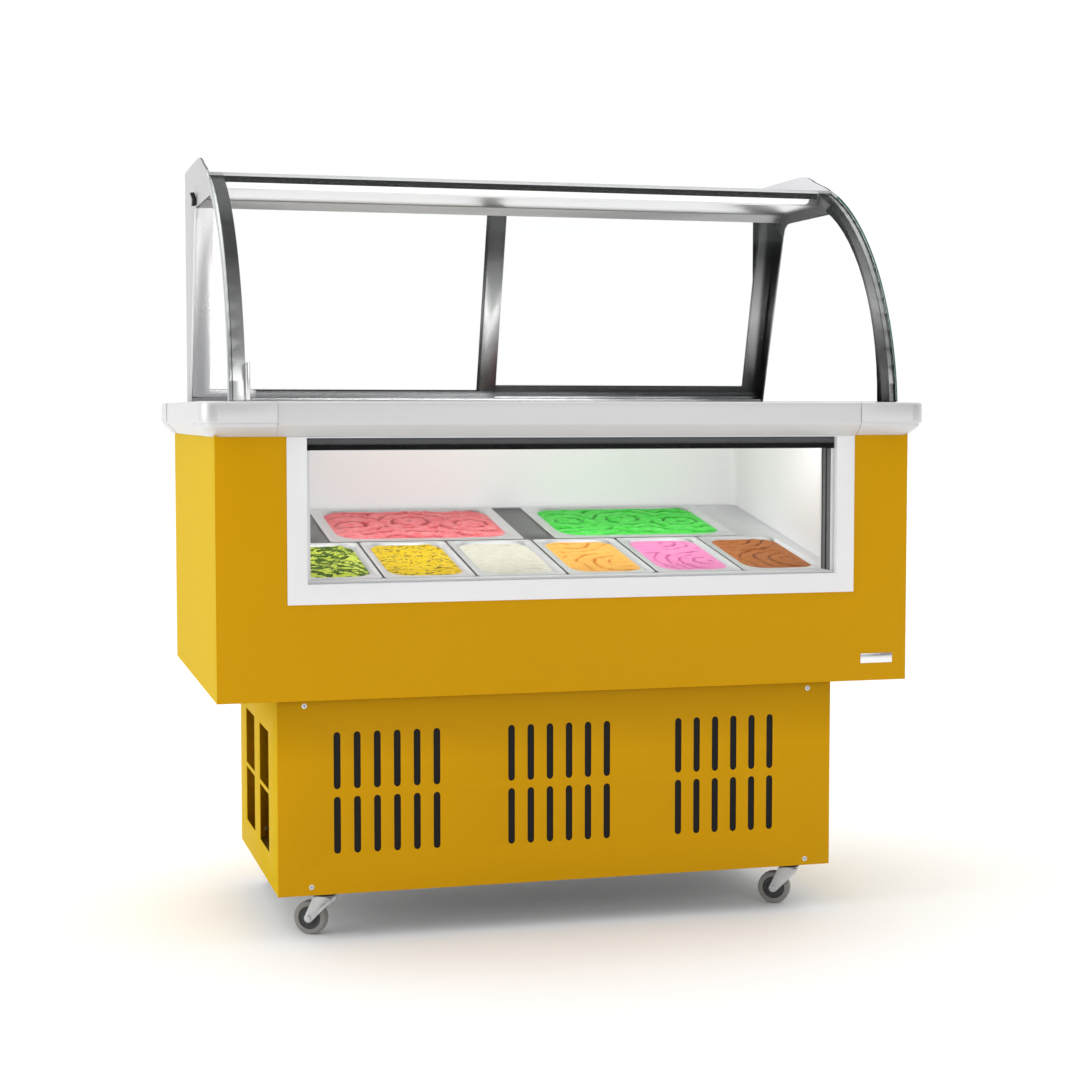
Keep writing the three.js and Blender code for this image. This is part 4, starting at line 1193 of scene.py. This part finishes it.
bolts = []
for joint in frame["joints"]:
    if joint["name"].endswith("_swivel"):
        x, y, _ = joint["pos_m"]
        for dx in (-0.0235, 0.0235):
            for dy in (-0.0235, 0.0235):
                bolts.append(((x + dx, y + dy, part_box("base_tray")[0].z), OUT["down"]))
SCREWS.grown("caster_bolts", seeds(bolts), "cabinet", "tray", (), Head_Radius=3.2 * MM, Head_Height=1.5 * MM)

# ------------------------------------------------------------------ floor, light and camera
SCENE = bpy.context.scene
SCENE.view_settings.view_transform = "Standard"

floor_finish = Finish("pale_floor")
mottle = floor_finish.cloudy(1.5, 3.0)
floor_finish.surface(floor_finish.blend(mottle, (0.93, 0.93, 0.93), (0.96, 0.96, 0.96)), 0.75)
floor_mesh = bpy.data.meshes.new("floor")
WIDE = 30.0
floor_corners = [(-WIDE, -WIDE, 0), (WIDE, -WIDE, 0), (WIDE, WIDE, 0), (-WIDE, WIDE, 0)]
floor_mesh.from_pydata(floor_corners, [], [(0, 1, 2, 3)])
floor_mesh.materials.append(floor_finish.material)
floor = bpy.data.objects.new("floor", floor_mesh)
SCENE.collection.objects.link(floor)

sky = bpy.data.worlds.new("studio")
sky.use_nodes = True
sky.node_tree.nodes.clear()
room = Board(sky.node_tree, "ShaderNodeMath")
heading = room.add("ShaderNodeSeparateXYZ", {0: room.add("ShaderNodeTexCoord").outputs["Generated"]})
hx, hy, hz = [Value(room, out) for out in heading.outputs]
customer_side = 1 - hy.past(-0.05, 0.4)
bands = (hx + 0.05).between(-0.62, -0.34, 0.12) + (hx - 0.05).between(0.25, 0.6, 0.12)
overhead = hz.past(0.62, 0.3)
level = 1.03 - customer_side * 0.62 - customer_side * bands * 0.3 + overhead * 0.85
backdrop = room.add("ShaderNodeBackground", {"Color": (1.0, 1.0, 1.0), "Strength": level})
room.add("ShaderNodeOutputWorld", {"Surface": backdrop.outputs[0]})
SCENE.world = sky


def softbox(name, place, aim, width, height, power):
    lamp = bpy.data.lights.new(name, "AREA")
    lamp.shape = "RECTANGLE"
    lamp.size = width
    lamp.size_y = height
    lamp.energy = power
    holder = bpy.data.objects.new(name, lamp)
    holder.location = place
    holder.rotation_euler = (Vector(aim) - Vector(place)).to_track_quat("-Z", "Y").to_euler()
    SCENE.collection.objects.link(holder)


softbox("key_left", (-4.4, -0.7, 1.9), (0.0, 0.0, 0.7), 2.6, 2.6, 48.0)
softbox("fill_front", (1.6, -5.2, 2.2), (0.0, 0.0, 0.7), 3.0, 2.0, 30.0)
softbox("tank_glow", (0.0, -0.25, 0.925), (0.0, 0.1, 0.70), 1.0, 0.05, 1.5)

eye = bpy.data.cameras.new("eye")
eye.sensor_width = 36.0
eye.lens = 68.2
eye.shift_x = -0.00286
holder = bpy.data.objects.new("eye", eye)
holder.location = (-1.0523, -3.979, 0.9493)
turn = math.radians(15.337)
dip = math.radians(3.552)
look = Vector((math.sin(turn) * math.cos(dip), math.cos(turn) * math.cos(dip), -math.sin(dip)))
holder.rotation_euler = look.to_track_quat("-Z", "Y").to_euler()
SCENE.collection.objects.link(holder)
SCENE.camera = holder
